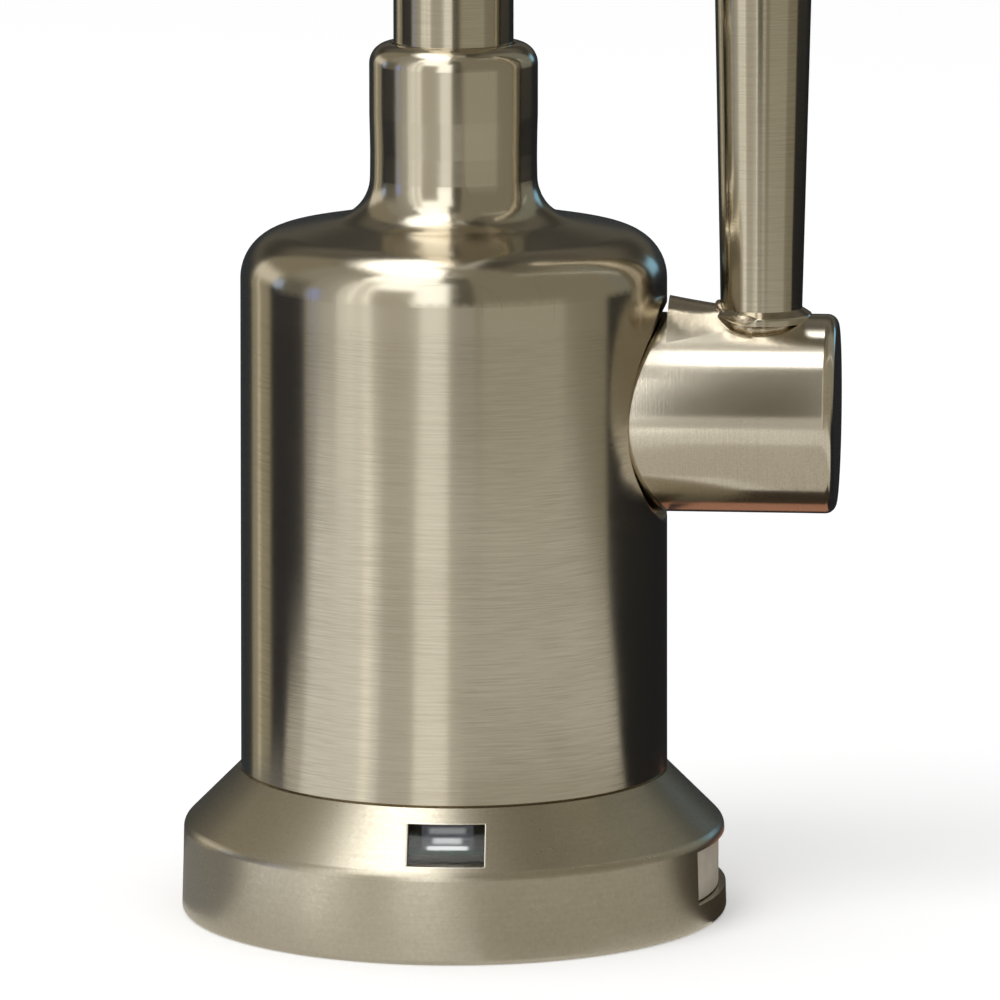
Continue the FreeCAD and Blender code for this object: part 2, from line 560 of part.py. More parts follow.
# The base ring is a casting: a wall with a draft, a cone up to the body and a roof,
# with a window at the front, a drawer slot under the lever and a vent at the back.
def make_base_ring():
    body = new_piece("base_ring")
    cone_foot = "base_height - (base_radius - base_draft - base_top_radius)"
    profile = outline(sketch_on(body, "XZ_Plane"), [
        (BASE_INSIDE, "0"),
        ("base_radius", "0"),
        ("base_radius - base_draft", cone_foot),
        ("base_top_radius", "base_height"),
        ("roof_opening", "base_height"),
        ("roof_opening", ROOF_BOTTOM),
        (f"{INNER_CONE} - {ROOF_BOTTOM}", ROOF_BOTTOM),
        (BASE_INSIDE, f"{INNER_CONE} - {BASE_INSIDE}"),
    ])
    revolve(body, profile)
    soften(body, profile, 2, "base_corner_round")
    soften(body, profile, 1, "base_foot_round")
    bosses = sketch_on(body, "XY_Plane", PLATE_TOP, "boss_angle")
    circle(bosses, BOSS_CIRCLE, "0", "boss_radius")
    boss = pad(body, bosses, f"{ROOF_BOTTOM} - {PLATE_TOP} + boss_rise")
    pilots = sketch_on(body, "XY_Plane", PLATE_TOP, "boss_angle")
    circle(pilots, BOSS_CIRCLE, "0", "screw_radius")
    pilot = pocket(body, pilots, "pilot_depth", backwards=True)
    repeat_round(body, [boss, pilot], "boss_count")
    posts = sketch_on(body, "XY_Plane", BOARD_TOP)
    circle(posts, "post_spread", "-post_reach", "post_radius")
    circle(posts, "-post_spread", "-post_reach", "post_radius")
    pad(body, posts, f"{ROOF_BOTTOM} - {BOARD_TOP} + boss_rise")
    window = sketch_on(body, "XZ_Plane", f"{INNER_CONE} - {WINDOW_TOP} - window_clear")
    box_outline(window, "-window_width / 2", "window_width / 2", SILL, WINDOW_TOP)
    pocket(body, window, FAR, backwards=True)
    slot = sketch_on(body, "YZ_Plane", SLOT_BACK)
    box_outline(slot, "-slot_width / 2", "slot_width / 2", "slot_bottom", "slot_bottom + slot_height")
    pocket(body, slot, FAR, backwards=True)
    vent = sketch_on(body, "XZ_Plane", f"-{SLOT_BACK}")
    box_outline(vent, "-vent_width / 2", "vent_width / 2", "vent_bottom", "vent_bottom + vent_height")
    pocket(body, vent, FAR)
    turn_with_base(body)


# The bottom plate closes the base over the drawer and carries its two runners.
def make_base_plate():
    body = new_piece("base_plate")
    disc = sketch_on(body, "XY_Plane", "gasket_thickness")
    circle(disc, "0", "0", PLATE_RADIUS)
    circle(disc, "0", "0", "plate_opening")
    pad(body, disc, "plate_thickness")
    rails = sketch_on(body, "XY_Plane", PLATE_TOP)
    for side in ("rail_spread", "-rail_spread"):
        box_outline(rails, "plate_opening + rail_inset", f"{PLATE_RADIUS} - rail_inset",
                    f"{side} - rail_width / 2", f"{side} + rail_width / 2")
    pad(body, rails, f"slot_bottom - {PLATE_TOP}")
    shafts = sketch_on(body, "XY_Plane", "gasket_thickness", "boss_angle")
    circle(shafts, BOSS_CIRCLE, "0", "screw_radius + screw_gap")
    shaft = pocket(body, shafts, "plate_thickness", backwards=True)
    heads = sketch_on(body, "XY_Plane", "gasket_thickness", "boss_angle")
    circle(heads, BOSS_CIRCLE, "0", "screw_head_radius + screw_gap")
    head = pocket(body, heads, "screw_head_height", backwards=True)
    repeat_round(body, [shaft, head], "boss_count")
    turn_with_base(body)


def make_base_screws():
    body = new_piece("base_screws")
    body.AllowCompound = True
    heads = sketch_on(body, "XY_Plane", "gasket_thickness", "boss_angle")
    circle(heads, BOSS_CIRCLE, "0", "screw_head_radius")
    head = pad(body, heads, "screw_head_height")
    shafts = sketch_on(body, "XY_Plane", "gasket_thickness", "boss_angle")
    circle(shafts, BOSS_CIRCLE, "0", "screw_radius")
    shaft = pad(body, shafts, "screw_length")
    repeat_round(body, [head, shaft], "boss_count")
    turn_with_base(body)


def make_base_gasket():
    turned("base_gasket", [
        ("gasket_opening", "0"),
        (PLATE_RADIUS, "0"),
        (PLATE_RADIUS, "gasket_thickness"),
        ("gasket_opening", "gasket_thickness"),
    ])


# The lens is a clear block: its face slopes with the cone, a little way inside it.
def make_indicator_lens():
    body = new_piece("indicator_lens")
    face_low = f"{SILL_RADIUS} - window_recess"
    face_high = f"{SILL_RADIUS} - window_recess - window_height + lens_gap"
    shape = outline(sketch_on(body, "YZ_Plane"), [
        (f"-({face_low})", SILL),
        (f"-({face_high})", f"{WINDOW_TOP} - lens_gap"),
        (f"-({face_high}) + lens_top_depth", f"{WINDOW_TOP} - lens_gap"),
        (f"-({face_low}) + lens_depth", SILL),
    ])
    pad(body, shape, "window_width - 2 * lens_gap", both_ways=True)
    turn_with_base(body)


# The light module stands on the board and shows two pale bars, one over the other.
def make_indicator_light():
    body = new_piece("indicator_light")
    front = f"({SILL_RADIUS} - window_recess - lens_depth - light_gap - light_depth)"
    block = sketch_on(body, "XY_Plane", BOARD_TOP)
    box_outline(block, "-light_width / 2", "light_width / 2", f"-{front}", f"-{front} + light_depth")
    pad(body, block, LIGHT_HEIGHT)
    bars = sketch_on(body, "XZ_Plane", front)
    lower = f"{BOARD_TOP} + {LIGHT_HEIGHT} / 2 - light_bar_pitch / 2"
    upper = f"{BOARD_TOP} + {LIGHT_HEIGHT} / 2 + light_bar_pitch / 2"
    for middle, width in ((lower, "light_bar_width"), (upper, "light_bar_upper")):
        box_outline(bars, f"-{width} / 2", f"{width} / 2",
                    f"{middle} - light_bar_height / 2", f"{middle} + light_bar_height / 2")
    pad(body, bars, "light_bar_depth")
    turn_with_base(body)


def make_circuit_board():
    body = new_piece("circuit_board")
    sheet_of_board = sketch_on(body, "XY_Plane", BOARD_BOTTOM)
    circle(sheet_of_board, "0", "0", f"{BASE_INSIDE} - board_inset")
    pad(body, sheet_of_board, "board_thickness")
    keep_front = sketch_on(body, "XY_Plane", BOARD_BOTTOM)
    box_outline(keep_front, f"-{FAR}", FAR, "-board_edge", FAR)
    pocket(body, keep_front, "board_thickness", backwards=True)
    for side in ("", "-"):
        trim = sketch_on(body, "XY_Plane", BOARD_BOTTOM)
        box_outline(trim, f"{side}board_half_width", f"{side}{FAR}", f"-{FAR}", FAR)
        pocket(body, trim, "board_thickness", backwards=True)
    turn_with_base(body)


# The contact is a bent spring strip: a foot under the board, a slope, and a toe over the cell.
def make_battery_contact():
    body = new_piece("battery_contact")
    strip = outline(sketch_on(body, "XZ_Plane", "contact_side"), [
        ("contact_start", f"{BOARD_BOTTOM} - contact_thickness"),
        ("contact_start + contact_foot", f"{BOARD_BOTTOM} - contact_thickness"),
        ("contact_start + contact_foot + contact_slope", f"{CELL_TOP} + contact_lift"),
        ("contact_start + contact_foot + contact_slope + contact_toe", f"{CELL_TOP} + contact_lift"),
        ("contact_start + contact_foot + contact_slope + contact_toe",
         f"{CELL_TOP} + contact_lift + contact_thickness"),
        ("contact_start + contact_foot + contact_slope", f"{CELL_TOP} + contact_lift + contact_thickness"),
        ("contact_start + contact_foot", BOARD_BOTTOM),
        ("contact_start", BOARD_BOTTOM),
    ])
    pad(body, strip, "contact_width", both_ways=True)
    turn_with_base(body)


# The battery drawer is a low tray with a curved front that follows the base wall.
def make_battery_drawer():
    body = new_piece("battery_drawer")
    half = "(slot_width / 2 - drawer_gap)"
    tray_height = "drawer_floor + cell_thickness - drawer_rim_drop"
    tray = sketch_on(body, "XY_Plane", DRAWER_BOTTOM)
    box_outline(tray, f"{CELL_REACH} - cell_radius - cell_gap - drawer_back",
                f"{CELL_REACH} + cell_radius / 2", f"-{half}", half)
    pad(body, tray, tray_height)
    front = sketch_on(body, "XY_Plane", DRAWER_BOTTOM)
    sector(front, f"{DRAWER_RADIUS} - drawer_front", DRAWER_RADIUS, half)
    pad(body, front, f"{DRAWER_TOP} - {DRAWER_BOTTOM}")
    filling = sketch_on(body, "XY_Plane", DRAWER_BOTTOM)
    sector(filling, CELL_REACH, f"{DRAWER_RADIUS} - drawer_front / 2", half)
    pad(body, filling, tray_height)
    recess = sketch_on(body, "XY_Plane", CELL_BOTTOM)
    circle(recess, CELL_REACH, "0", "cell_radius + cell_gap")
    pocket(body, recess, "cell_thickness", backwards=True)
    turn_with_base(body)


def make_coin_cell():
    body = turned("coin_cell", [
        ("0", "0"),
        ("cell_cap_radius", "0"),
        ("cell_cap_radius", "cell_cap_height"),
        ("cell_radius", "cell_cap_height"),
        ("cell_radius", "cell_thickness"),
        ("0", "cell_thickness"),
    ], rounds=[(4, "cell_cap_height / 2"), (1, "cell_cap_height / 2")])
    turn = "(base_turn * 1 deg)"
    bind(body, "Placement.Base.x", f"{CELL_REACH} * cos{turn}")
    bind(body, "Placement.Base.y", f"{CELL_REACH} * sin{turn}")
    bind(body, "Placement.Base.z", CELL_BOTTOM)


# The body is one bell: wall, rounded shoulder, neck and collar, with a hole for the lever hub.
def make_body_shell():
    neck_bore = f"({CORE_NECK} + core_gap)"
    body = new_piece("body_shell")
    profile = outline(sketch_on(body, "XZ_Plane"), [
        (BODY_INSIDE, "base_height"),
        (BODY_BOTTOM_RADIUS, "base_height"),
        (BODY_TOP_RADIUS, "shoulder_level"),
        ("neck_radius", NECK_LEVEL),
        ("waist_radius", f"{NECK_LEVEL} + waist_rise"),
        ("collar_radius", COLLAR_LEVEL),
        ("collar_radius", COLLAR_TOP),
        (SOCKET_RADIUS, COLLAR_TOP),
        (SOCKET_RADIUS, CORE_TOP),
        (neck_bore, CORE_TOP),
        (neck_bore, f"{NECK_LEVEL} - body_wall"),
        (BODY_INSIDE, "shoulder_level - body_wall"),
    ])
    revolve(body, profile)
    soften(body, profile, 2, "shoulder_round")
    soften(body, profile, 3, "neck_root_round")
    soften(body, profile, 6, "collar_round")
    soften(body, profile, 11, "shoulder_round - body_wall")
    soften(body, profile, 7, "collar_chamfer", "Chamfer")
    soften(body, profile, 1, "body_chamfer", "Chamfer")
    hub_hole = sketch_on(body, "YZ_Plane", "valve_boss_face / 2")
    circle(hub_hole, "0", VALVE_LEVEL, HOLE_RADIUS)
    pocket(body, hub_hole, FAR, backwards=True)
    round_hub_hole(body)
    keeper = sketch_on(body, "XZ_Plane", f"-{KEEPER_START}")
    circle(keeper, "0", KEEPER_LEVEL, "keeper_radius + grub_gap")
    pocket(body, keeper, FAR)


def round_hub_hole(body):
    """Soften the outer edge of the saddle shaped hole for the hub."""
    previous = body.Tip
    middle_of_wall = sheet.base_top_radius - sheet.seam_step - sheet.body_taper - sheet.body_wall / 2
    edges = []
    for number, edge in enumerate(previous.Shape.Edges, 1):
        if edge.Curve.TypeId == "Part::GeomCircle" or edge.Curve.TypeId == "Part::GeomLine":
            continue
        reach = max(vertex.Point.x for vertex in edge.Vertexes)
        if reach > middle_of_wall:
            edges.append(f"Edge{number}")
    feature = body.newObject("PartDesign::Fillet", f"{body.Name}_hole_edge")
    feature.Base = (previous, edges)
    bind(feature, "Radius", "hole_edge_round")
    doc.recompute()


# The core is a brass forging inside the body: foot flange, water column, valve boss and spout socket.
def make_valve_core():
    body = new_piece("valve_core")
    column_top = f"({SOCKET_LEVEL} - socket_taper)"
    bush_radius = f"({SOCKET_RADIUS} + bush_wall)"
    flange_radius = f"({BODY_INSIDE} - flange_gap)"
    profile = outline(sketch_on(body, "XZ_Plane"), [
        ("0", "shank_seat"),
        ("shank_radius + thread_gap", "shank_seat"),
        ("shank_radius + thread_gap", "base_height"),
        (flange_radius, "base_height"),
        (flange_radius, FLANGE_TOP),
        ("column_radius", FLANGE_TOP),
        ("column_radius", column_top),
        (CORE_NECK, SOCKET_LEVEL),
        (CORE_NECK, CORE_TOP),
        (bush_radius, CORE_TOP),
        (bush_radius, f"{CORE_TOP} - bush_height"),
        (SOCKET_RADIUS, f"{CORE_TOP} - bush_height"),
        (SOCKET_RADIUS, SOCKET_LEVEL),
        ("0", SOCKET_LEVEL),
    ])
    revolve(body, profile)
    boss = sketch_on(body, "YZ_Plane", "-valve_boss_back")
    circle(boss, "0", VALVE_LEVEL, "valve_boss_radius")
    pad(body, boss, "valve_boss_back + valve_boss_face")
    chamber = sketch_on(body, "YZ_Plane", "chamber_end")
    circle(chamber, "0", VALVE_LEVEL, "chamber_radius")
    pocket(body, chamber, "valve_boss_face", backwards=True)
    inlet = sketch_on(body, "XY_Plane", "shank_seat - drill_run")
    circle(inlet, "-inlet_offset", "0", "passage_radius")
    pocket(body, inlet, f"{VALVE_LEVEL} - shank_seat + drill_run", backwards=True)
    cross = sketch_on(body, "YZ_Plane", "-inlet_offset")
    circle(cross, "0", VALVE_LEVEL, "cross_radius")
    pocket(body, cross, "inlet_offset + chamber_end + drill_run", backwards=True)
    outlet = sketch_on(body, "XY_Plane", VALVE_LEVEL)
    circle(outlet, "outlet_offset", "0", "passage_radius")
    pocket(body, outlet, f"{SOCKET_LEVEL} - {VALVE_LEVEL} + drill_run", backwards=True)
    drill_for_drains(body, "base_height", "flange_thickness")
    keeper = sketch_on(body, "XZ_Plane", f"-({KEEPER_START} - grub_gap)")
    circle(keeper, "0", KEEPER_LEVEL, "keeper_radius + grub_gap")
    pocket(body, keeper, FAR)


def drill_for_drains(body, level, depth):
    """Holes for the two drain tubes and the three overflow holes at the back."""
    holes = [
        ("inlet_angle", "inlet_circle", "inlet_radius"),
        ("outlet_angle", "outlet_circle", "outlet_radius"),
    ]
    for step in (-1, 0, 1):
        holes.append((f"overflow_angle + overflow_pitch * {step}", "overflow_circle", "overflow_radius"))
    for angle, reach, radius in holes:
        hole = sketch_on(body, "XY_Plane", level, angle)
        circle(hole, reach, "0", radius)
        pocket(body, hole, depth, backwards=True)


def make_air_gap_insert():
    sleeve = "(column_radius + sleeve_gap)"
    body = turned("air_gap_insert", [
        (sleeve, FLANGE_TOP),
        (INSERT_RADIUS, FLANGE_TOP),
        (INSERT_RADIUS, INSERT_TOP),
        (f"{INSERT_RADIUS} - insert_wall", INSERT_TOP),
        (f"{INSERT_RADIUS} - insert_wall", f"{FLANGE_TOP} + insert_floor"),
        (f"{sleeve} + insert_sleeve", f"{FLANGE_TOP} + insert_floor"),
        (f"{sleeve} + insert_sleeve", INSERT_TOP),
        (sleeve, INSERT_TOP),
    ])
    drill_for_drains(body, FLANGE_TOP, "insert_floor")


def make_drain_tube(name, radius, bore, top, reach, angle):
    """A drain tube with three hose barbs at its lower end."""
    corners = [(bore, top), (bore, "-barb_end")]
    for barb in range(3):
        low = f"-barb_end + barb_pitch * {barb}"
        corners.append((f"{radius} - barb_height / 2", low))
        corners.append((f"{radius} + barb_height", f"{low} + barb_slope"))
        corners.append((radius, f"{low} + barb_slope + barb_back"))
    corners.append((radius, top))
    body = turned(name, corners)
    bind(body, "Placement.Base.x", f"{reach} * cos({angle} * 1 deg)")
    bind(body, "Placement.Base.y", f"{reach} * sin({angle} * 1 deg)")


def make_threaded_shank():
    groove = "(shank_radius - shank_ring_depth)"
    turned("threaded_shank", [
        ("shank_bore", "-shank_end"),
        ("shank_tail_radius", "-shank_end"),
        ("shank_tail_radius", "shank_tail_length - shank_end"),
        ("shank_radius", "shank_tail_length - shank_end"),
        ("shank_radius", "shank_ring_level"),
        (groove, "shank_ring_level"),
        (groove, "shank_ring_level + groove_width"),
        ("shank_radius", "shank_ring_level + groove_width"),
        ("shank_radius", "shank_seat"),
        ("shank_bore", "shank_seat"),
    ], chamfers=[(1, "shank_chamfer"), (8, "shank_chamfer / 2")])
    section = "((shank_ring_depth + thread_gap) / 2)"
    turned_ring("shank_ring", ["shank_ring_level + groove_width / 2"],
                f"{groove} + {section}", section)


def make_washer(name, top, thickness):
    """A washer with a notch at one side, where the drain hoses pass."""
    body = turned(name, [
        ("shank_radius + washer_gap", f"-{top} - {thickness}"),
        ("washer_radius", f"-{top} - {thickness}"),
        ("washer_radius", f"-{top}"),
        ("shank_radius + washer_gap", f"-{top}"),
    ])
    notch = sketch_on(body, "XY_Plane", f"-{top} - {thickness}")
    box_outline(notch, f"-{FAR}", "-tube_notch_start", "-tube_notch_width / 2", "tube_notch_width / 2")
    pocket(body, notch, thickness, backwards=True)


def make_lock_washer():
    body = turned("lock_washer", [
        ("shank_radius + washer_gap", f"-{LOCK_BOTTOM}"),
        ("lock_radius", f"-{LOCK_BOTTOM}"),
        ("lock_radius", f"-{STEEL_BOTTOM}"),
        ("shank_radius + washer_gap", f"-{STEEL_BOTTOM}"),
    ])
    slit = sketch_on(body, "XY_Plane", f"-{LOCK_BOTTOM}")
    box_outline(slit, "0", FAR, "-lock_slit / 2", "lock_slit / 2")
    pocket(body, slit, "lock_thickness", backwards=True)


def make_mounting_nut():
    body = new_piece("mounting_nut")
    head = hexagon(sketch_on(body, "XY_Plane", f"-{LOCK_BOTTOM} - mounting_height"), "mounting_flats")
    pad(body, head, "mounting_height")
    bore = sketch_on(body, "XY_Plane", f"-{LOCK_BOTTOM} - mounting_height")
    circle(bore, "0", "0", "shank_radius + thread_gap")
    pocket(body, bore, "mounting_height", backwards=True)
    hole = body.Tip
    edges = [
        f"Edge{number}" for number, edge in enumerate(hole.Shape.Edges, 1)
        if edge.Curve.TypeId == "Part::GeomCircle"
    ]
    feature = body.newObject("PartDesign::Chamfer", "mounting_nut_chamfer")
    feature.Base = (hole, edges)
    bind(feature, "Size", "mounting_chamfer")
    doc.recompute()


# The cartridge: a seal, a fixed and a moving ceramic disc, a stem that turns the moving one,
# the cartridge body round them and the bonnet nut that holds them in the chamber.
def make_cartridge():
    seal = turned("valve_seal", [
        ("chamber_end", "seal_bore"),
        ("chamber_end", "disc_radius"),
        ("chamber_end + seal_thickness", "disc_radius"),
        ("chamber_end + seal_thickness", "seal_bore"),
    ], "H_Axis")
    put_on_valve_axis(seal)
    make_disc("fixed_disc", "chamber_end + seal_thickness", upright=True)
    moving = make_disc("moving_disc", FIXED_FACE, upright=False)
    groove = sketch_on(moving, "YZ_Plane", f"{MOVING_FACE} - drive_depth - drive_gap")
    box_outline(groove, "-drive_width / 2 - drive_gap", "drive_width / 2 + drive_gap",
                "-drive_length / 2 - drive_gap", "drive_length / 2 + drive_gap")
    pocket(moving, groove, "disc_thickness", backwards=True)
    housing = turned("cartridge_body", [
        ("chamber_end + seal_thickness", "disc_radius + disc_gap"),
        ("chamber_end + seal_thickness", "cartridge_radius"),
        ("cartridge_shoulder", "cartridge_radius"),
        ("cartridge_shoulder", "nose_radius"),
        ("cartridge_nose", "nose_radius"),
        ("cartridge_nose", "stem_radius + stem_gap"),
        (f"{MOVING_FACE} + stem_flange + 2 * stem_gap", "stem_radius + stem_gap"),
        (f"{MOVING_FACE} + stem_flange + 2 * stem_gap", "disc_radius + disc_gap"),
    ], "H_Axis", chamfers=[(4, "nose_chamfer")])
    window = sketch_on(housing, "XY_Plane")
    box_outline(window, FIXED_FACE, f"{MOVING_FACE} + stem_flange",
                "-outlet_window / 2", "outlet_window / 2")
    pocket(housing, window, FAR, both_ways=True)
    put_on_valve_axis(housing)
    nut = turned("bonnet_nut", [
        ("cartridge_shoulder", "nose_radius + nut_gap"),
        ("cartridge_shoulder", "chamber_radius - nut_gap"),
        ("valve_boss_face", "chamber_radius - nut_gap"),
        ("valve_boss_face", "nose_radius + nut_gap"),
    ], "H_Axis")
    head = hexagon(sketch_on(nut, "YZ_Plane", "valve_boss_face"), "nut_flats")
    circle(head, "0", "0", "nose_radius + nut_gap")
    pad(nut, head, "nut_head")
    put_on_valve_axis(nut)


def make_disc(name, start, upright):
    """A ceramic disc with two ports. Crossed ports shut the water off."""
    disc = turned(name, [
        (start, "0"),
        (start, "disc_radius"),
        (f"{start} + disc_thickness", "disc_radius"),
        (f"{start} + disc_thickness", "0"),
    ], "H_Axis")
    ports = sketch_on(disc, "YZ_Plane", start)
    for side in ("", "-"):
        offset = f"{side}port_offset"
        across, up = ("0", offset) if upright else (offset, "0")
        circle(ports, across, up, "port_radius")
    pocket(disc, ports, "disc_thickness", backwards=True)
    put_on_valve_axis(disc)
    return disc


def make_valve_stem():
    start = f"({MOVING_FACE} + drive_gap)"
    groove = "(stem_radius - groove_depth)"
    stem = turned("valve_stem", [
        (start, "0"),
        (start, "stem_flange_radius"),
        (f"{start} + stem_flange", "stem_flange_radius"),
        (f"{start} + stem_flange", "stem_radius"),
        ("stem_groove", "stem_radius"),
        ("stem_groove", groove),
        ("stem_groove + groove_width", groove),
        ("stem_groove + groove_width", "stem_radius"),
        ("stem_end", "stem_radius"),
        ("stem_end", "0"),
    ], "H_Axis", chamfers=[(8, "stem_chamfer")])
    tongue = sketch_on(stem, "YZ_Plane", f"{start} - drive_depth")
    box_outline(tongue, "-drive_width / 2", "drive_width / 2", "-drive_length / 2", "drive_length / 2")
    pad(stem, tongue, "drive_depth")
    flat = sketch_on(stem, "XY_Plane")
    box_outline(flat, "stem_end - stem_flat_length", FAR, "stem_flat", "2 * stem_radius")
    pocket(stem, flat, FAR, both_ways=True)
    put_on_valve_axis(stem)
    section = "((groove_depth + stem_gap - ring_gap) / 2)"
    ring = turned_ring("stem_ring", ["stem_groove + groove_width / 2"],
                       f"{groove} + {section}", section, "H_Axis")
    put_on_valve_axis(ring)


# The hub is a blind drum that turns with the stem. It swells into a hump between the rod and the body.
# The flanks of the hump run down to the drum and meet it as good as tangent.
def make_lever_hub():
    body = new_piece("lever_hub")
    profile = outline(sketch_on(body, "XZ_Plane"), [
        ("hub_start", "0"),
        ("hub_start", "hub_radius"),
        ("hub_end", "hub_radius"),
        ("hub_end", "0"),
    ])
    revolve(body, profile, "H_Axis")
    soften(body, profile, 2, "hub_edge_round", "Fillet", "H_Axis")
    soften(body, profile, 1, "hub_inner_round", "Fillet", "H_Axis")
    sections = []
    stations = (
        (f"{BODY_BOTTOM_RADIUS} + hump_gap", "hump_body_rise"),
        ("lever_reach - foot_ring_radius", "hump_ring_rise"),
        ("lever_reach + foot_neck_radius", "hump_end_rise"),
    )
    for place, rise in stations:
        centre = f"(hub_radius + {rise} - hump_round)"
        steepness = f"(({HUMP_FOOT} - hump_round) / {centre})"
        section = sketch_on(body, "YZ_Plane", place)
        sections.append(saddle(section, centre, "hump_round",
                               f"{HUMP_FOOT} * sqrt(1 - {steepness} * {steepness})",
                               f"{HUMP_FOOT} * {steepness}"))
    hump = body.newObject("PartDesign::AdditiveLoft", "lever_hub_hump")
    hump.Profile = sections[0]
    hump.Sections = sections[1:]
    doc.recompute()
    for radius, end in (("hub_bore", "hub_web"), ("stem_radius + braze_gap", "stem_end + braze_gap")):
        hollow = sketch_on(body, "YZ_Plane", "hub_start")
        circle(hollow, "0", "0", radius)
        pocket(body, hollow, f"{end} - hub_start", backwards=True)
    hole = sketch_on(body, "XY_Plane", "spigot_end")
    circle(hole, "lever_reach", "0", "spigot_radius")
    pocket(body, hole, "hub_radius", backwards=True)
    grub = sketch_on(body, "XZ_Plane")
    circle(grub, "lever_reach", "0", "grub_radius + grub_gap")
    pocket(body, grub, FAR)
    put_on_valve_axis(body)
    return body


def make_lever_rod(hub):
    """A tapered rod with a ring at its foot, brazed to the hub by a short neck."""
    blank = new_body("lever_rod_blank")
    profile = outline(sketch_on(blank, "XZ_Plane"), [
        ("0", "foot_neck_start"),
        ("foot_neck_radius", "foot_neck_start"),
        ("foot_neck_radius", "foot_ring_bottom"),
        ("foot_ring_radius", "foot_ring_bottom"),
        ("foot_ring_radius", "foot_ring_level"),
        ("rod_foot_radius", "rod_foot_level"),
        ("rod_tip_radius", "rod_tip"),
        ("0", "rod_tip"),
    ])
    revolve(blank, profile)
    soften(blank, profile, 6, "rod_tip_round")
    soften(blank, profile, 4, "foot_ring_round")
    spigot = sketch_on(blank, "XY_Plane", "spigot_end")
    circle(spigot, "0", "0", "spigot_radius")
    pad(blank, spigot, "hub_radius - spigot_end")
    bind(blank, "Placement.Base.x", "lever_reach")
    put_on_valve_axis(blank)
    rod = doc.addObject("Part::Cut", "lever_rod")
    rod.Label = "lever_rod"
    rod.Base = blank
    rod.Tool = hub
    pieces.append(rod)


def make_socket_screw(name, radius, socket, start, end, across, up):
    """A headless screw with a hexagon socket that points to the back."""
    body = new_piece(name)
    shaft = sketch_on(body, "XZ_Plane", f"-({end})")
    circle(shaft, across, up, radius)
    pad(body, shaft, f"({end}) - ({start})")
    drive = sketch_on(body, "XZ_Plane", f"-({end})")
    drive.AttachmentOffset = Placement()
    bind(drive, "AttachmentOffset.Base.x", across)
    bind(drive, "AttachmentOffset.Base.y", up)
    bind(drive, "AttachmentOffset.Base.z", f"-({end})")
    hexagon(drive, f"{socket} * 2")
    pocket(body, drive, radius, backwards=True)
    return body


# The spout is one bent tube: a riser, a half turn and a straight end over the sink.
def make_spout_tube():
    body = new_piece("spout_tube")
    path = sketch_on(body, "YZ_Plane")
    path.addGeometry(Part.LineSegment(Vector(0, 80, 0), Vector(0, 200, 0)), False)
    bend = Part.Circle(Vector(-50, 200, 0), Vector(0, 0, 1), 50)
    path.addGeometry(Part.ArcOfCircle(bend, 0, math.pi), False)
    path.addGeometry(Part.LineSegment(Vector(-100, 200, 0), Vector(-100, 160, 0)), False)
    path.addConstraint(Sketcher.Constraint("PointOnObject", 0, 1, -2))
    path.addConstraint(Sketcher.Constraint("Vertical", 0))
    path.addConstraint(Sketcher.Constraint("Tangent", 0, 2, 1, 1))
    path.addConstraint(Sketcher.Constraint("Tangent", 1, 2, 2, 1))
    path.addConstraint(Sketcher.Constraint("Vertical", 2))
    fix(path, "DistanceY", -1, 1, 0, 1, 80, TUBE_START)
    fix(path, "DistanceY", -1, 1, 0, 2, 200, "riser_top")
    fix(path, "Radius", 1, 50, "bend_radius")
    fix(path, "DistanceY", 2, 2, 2, 1, 40, "drop_length")
    section = sketch_on(body, "XY_Plane", TUBE_START)
    circle(section, "0", "0", "tube_radius")
    circle(section, "0", "0", "tube_radius - tube_wall")
    pipe = body.newObject("PartDesign::AdditivePipe", "spout_tube_bend")
    pipe.Profile = section
    pipe.Spine = path
    doc.recompute()
    mouth = sheet.riser_top - sheet.drop_length
    edges = ring_edges(pipe.Shape, sheet.tube_radius, mouth, "z")
    feature = body.newObject("PartDesign::Fillet", "spout_tube_mouth")
    feature.Base = (pipe, edges)
    bind(feature, "Radius", "mouth_round")
    doc.recompute()


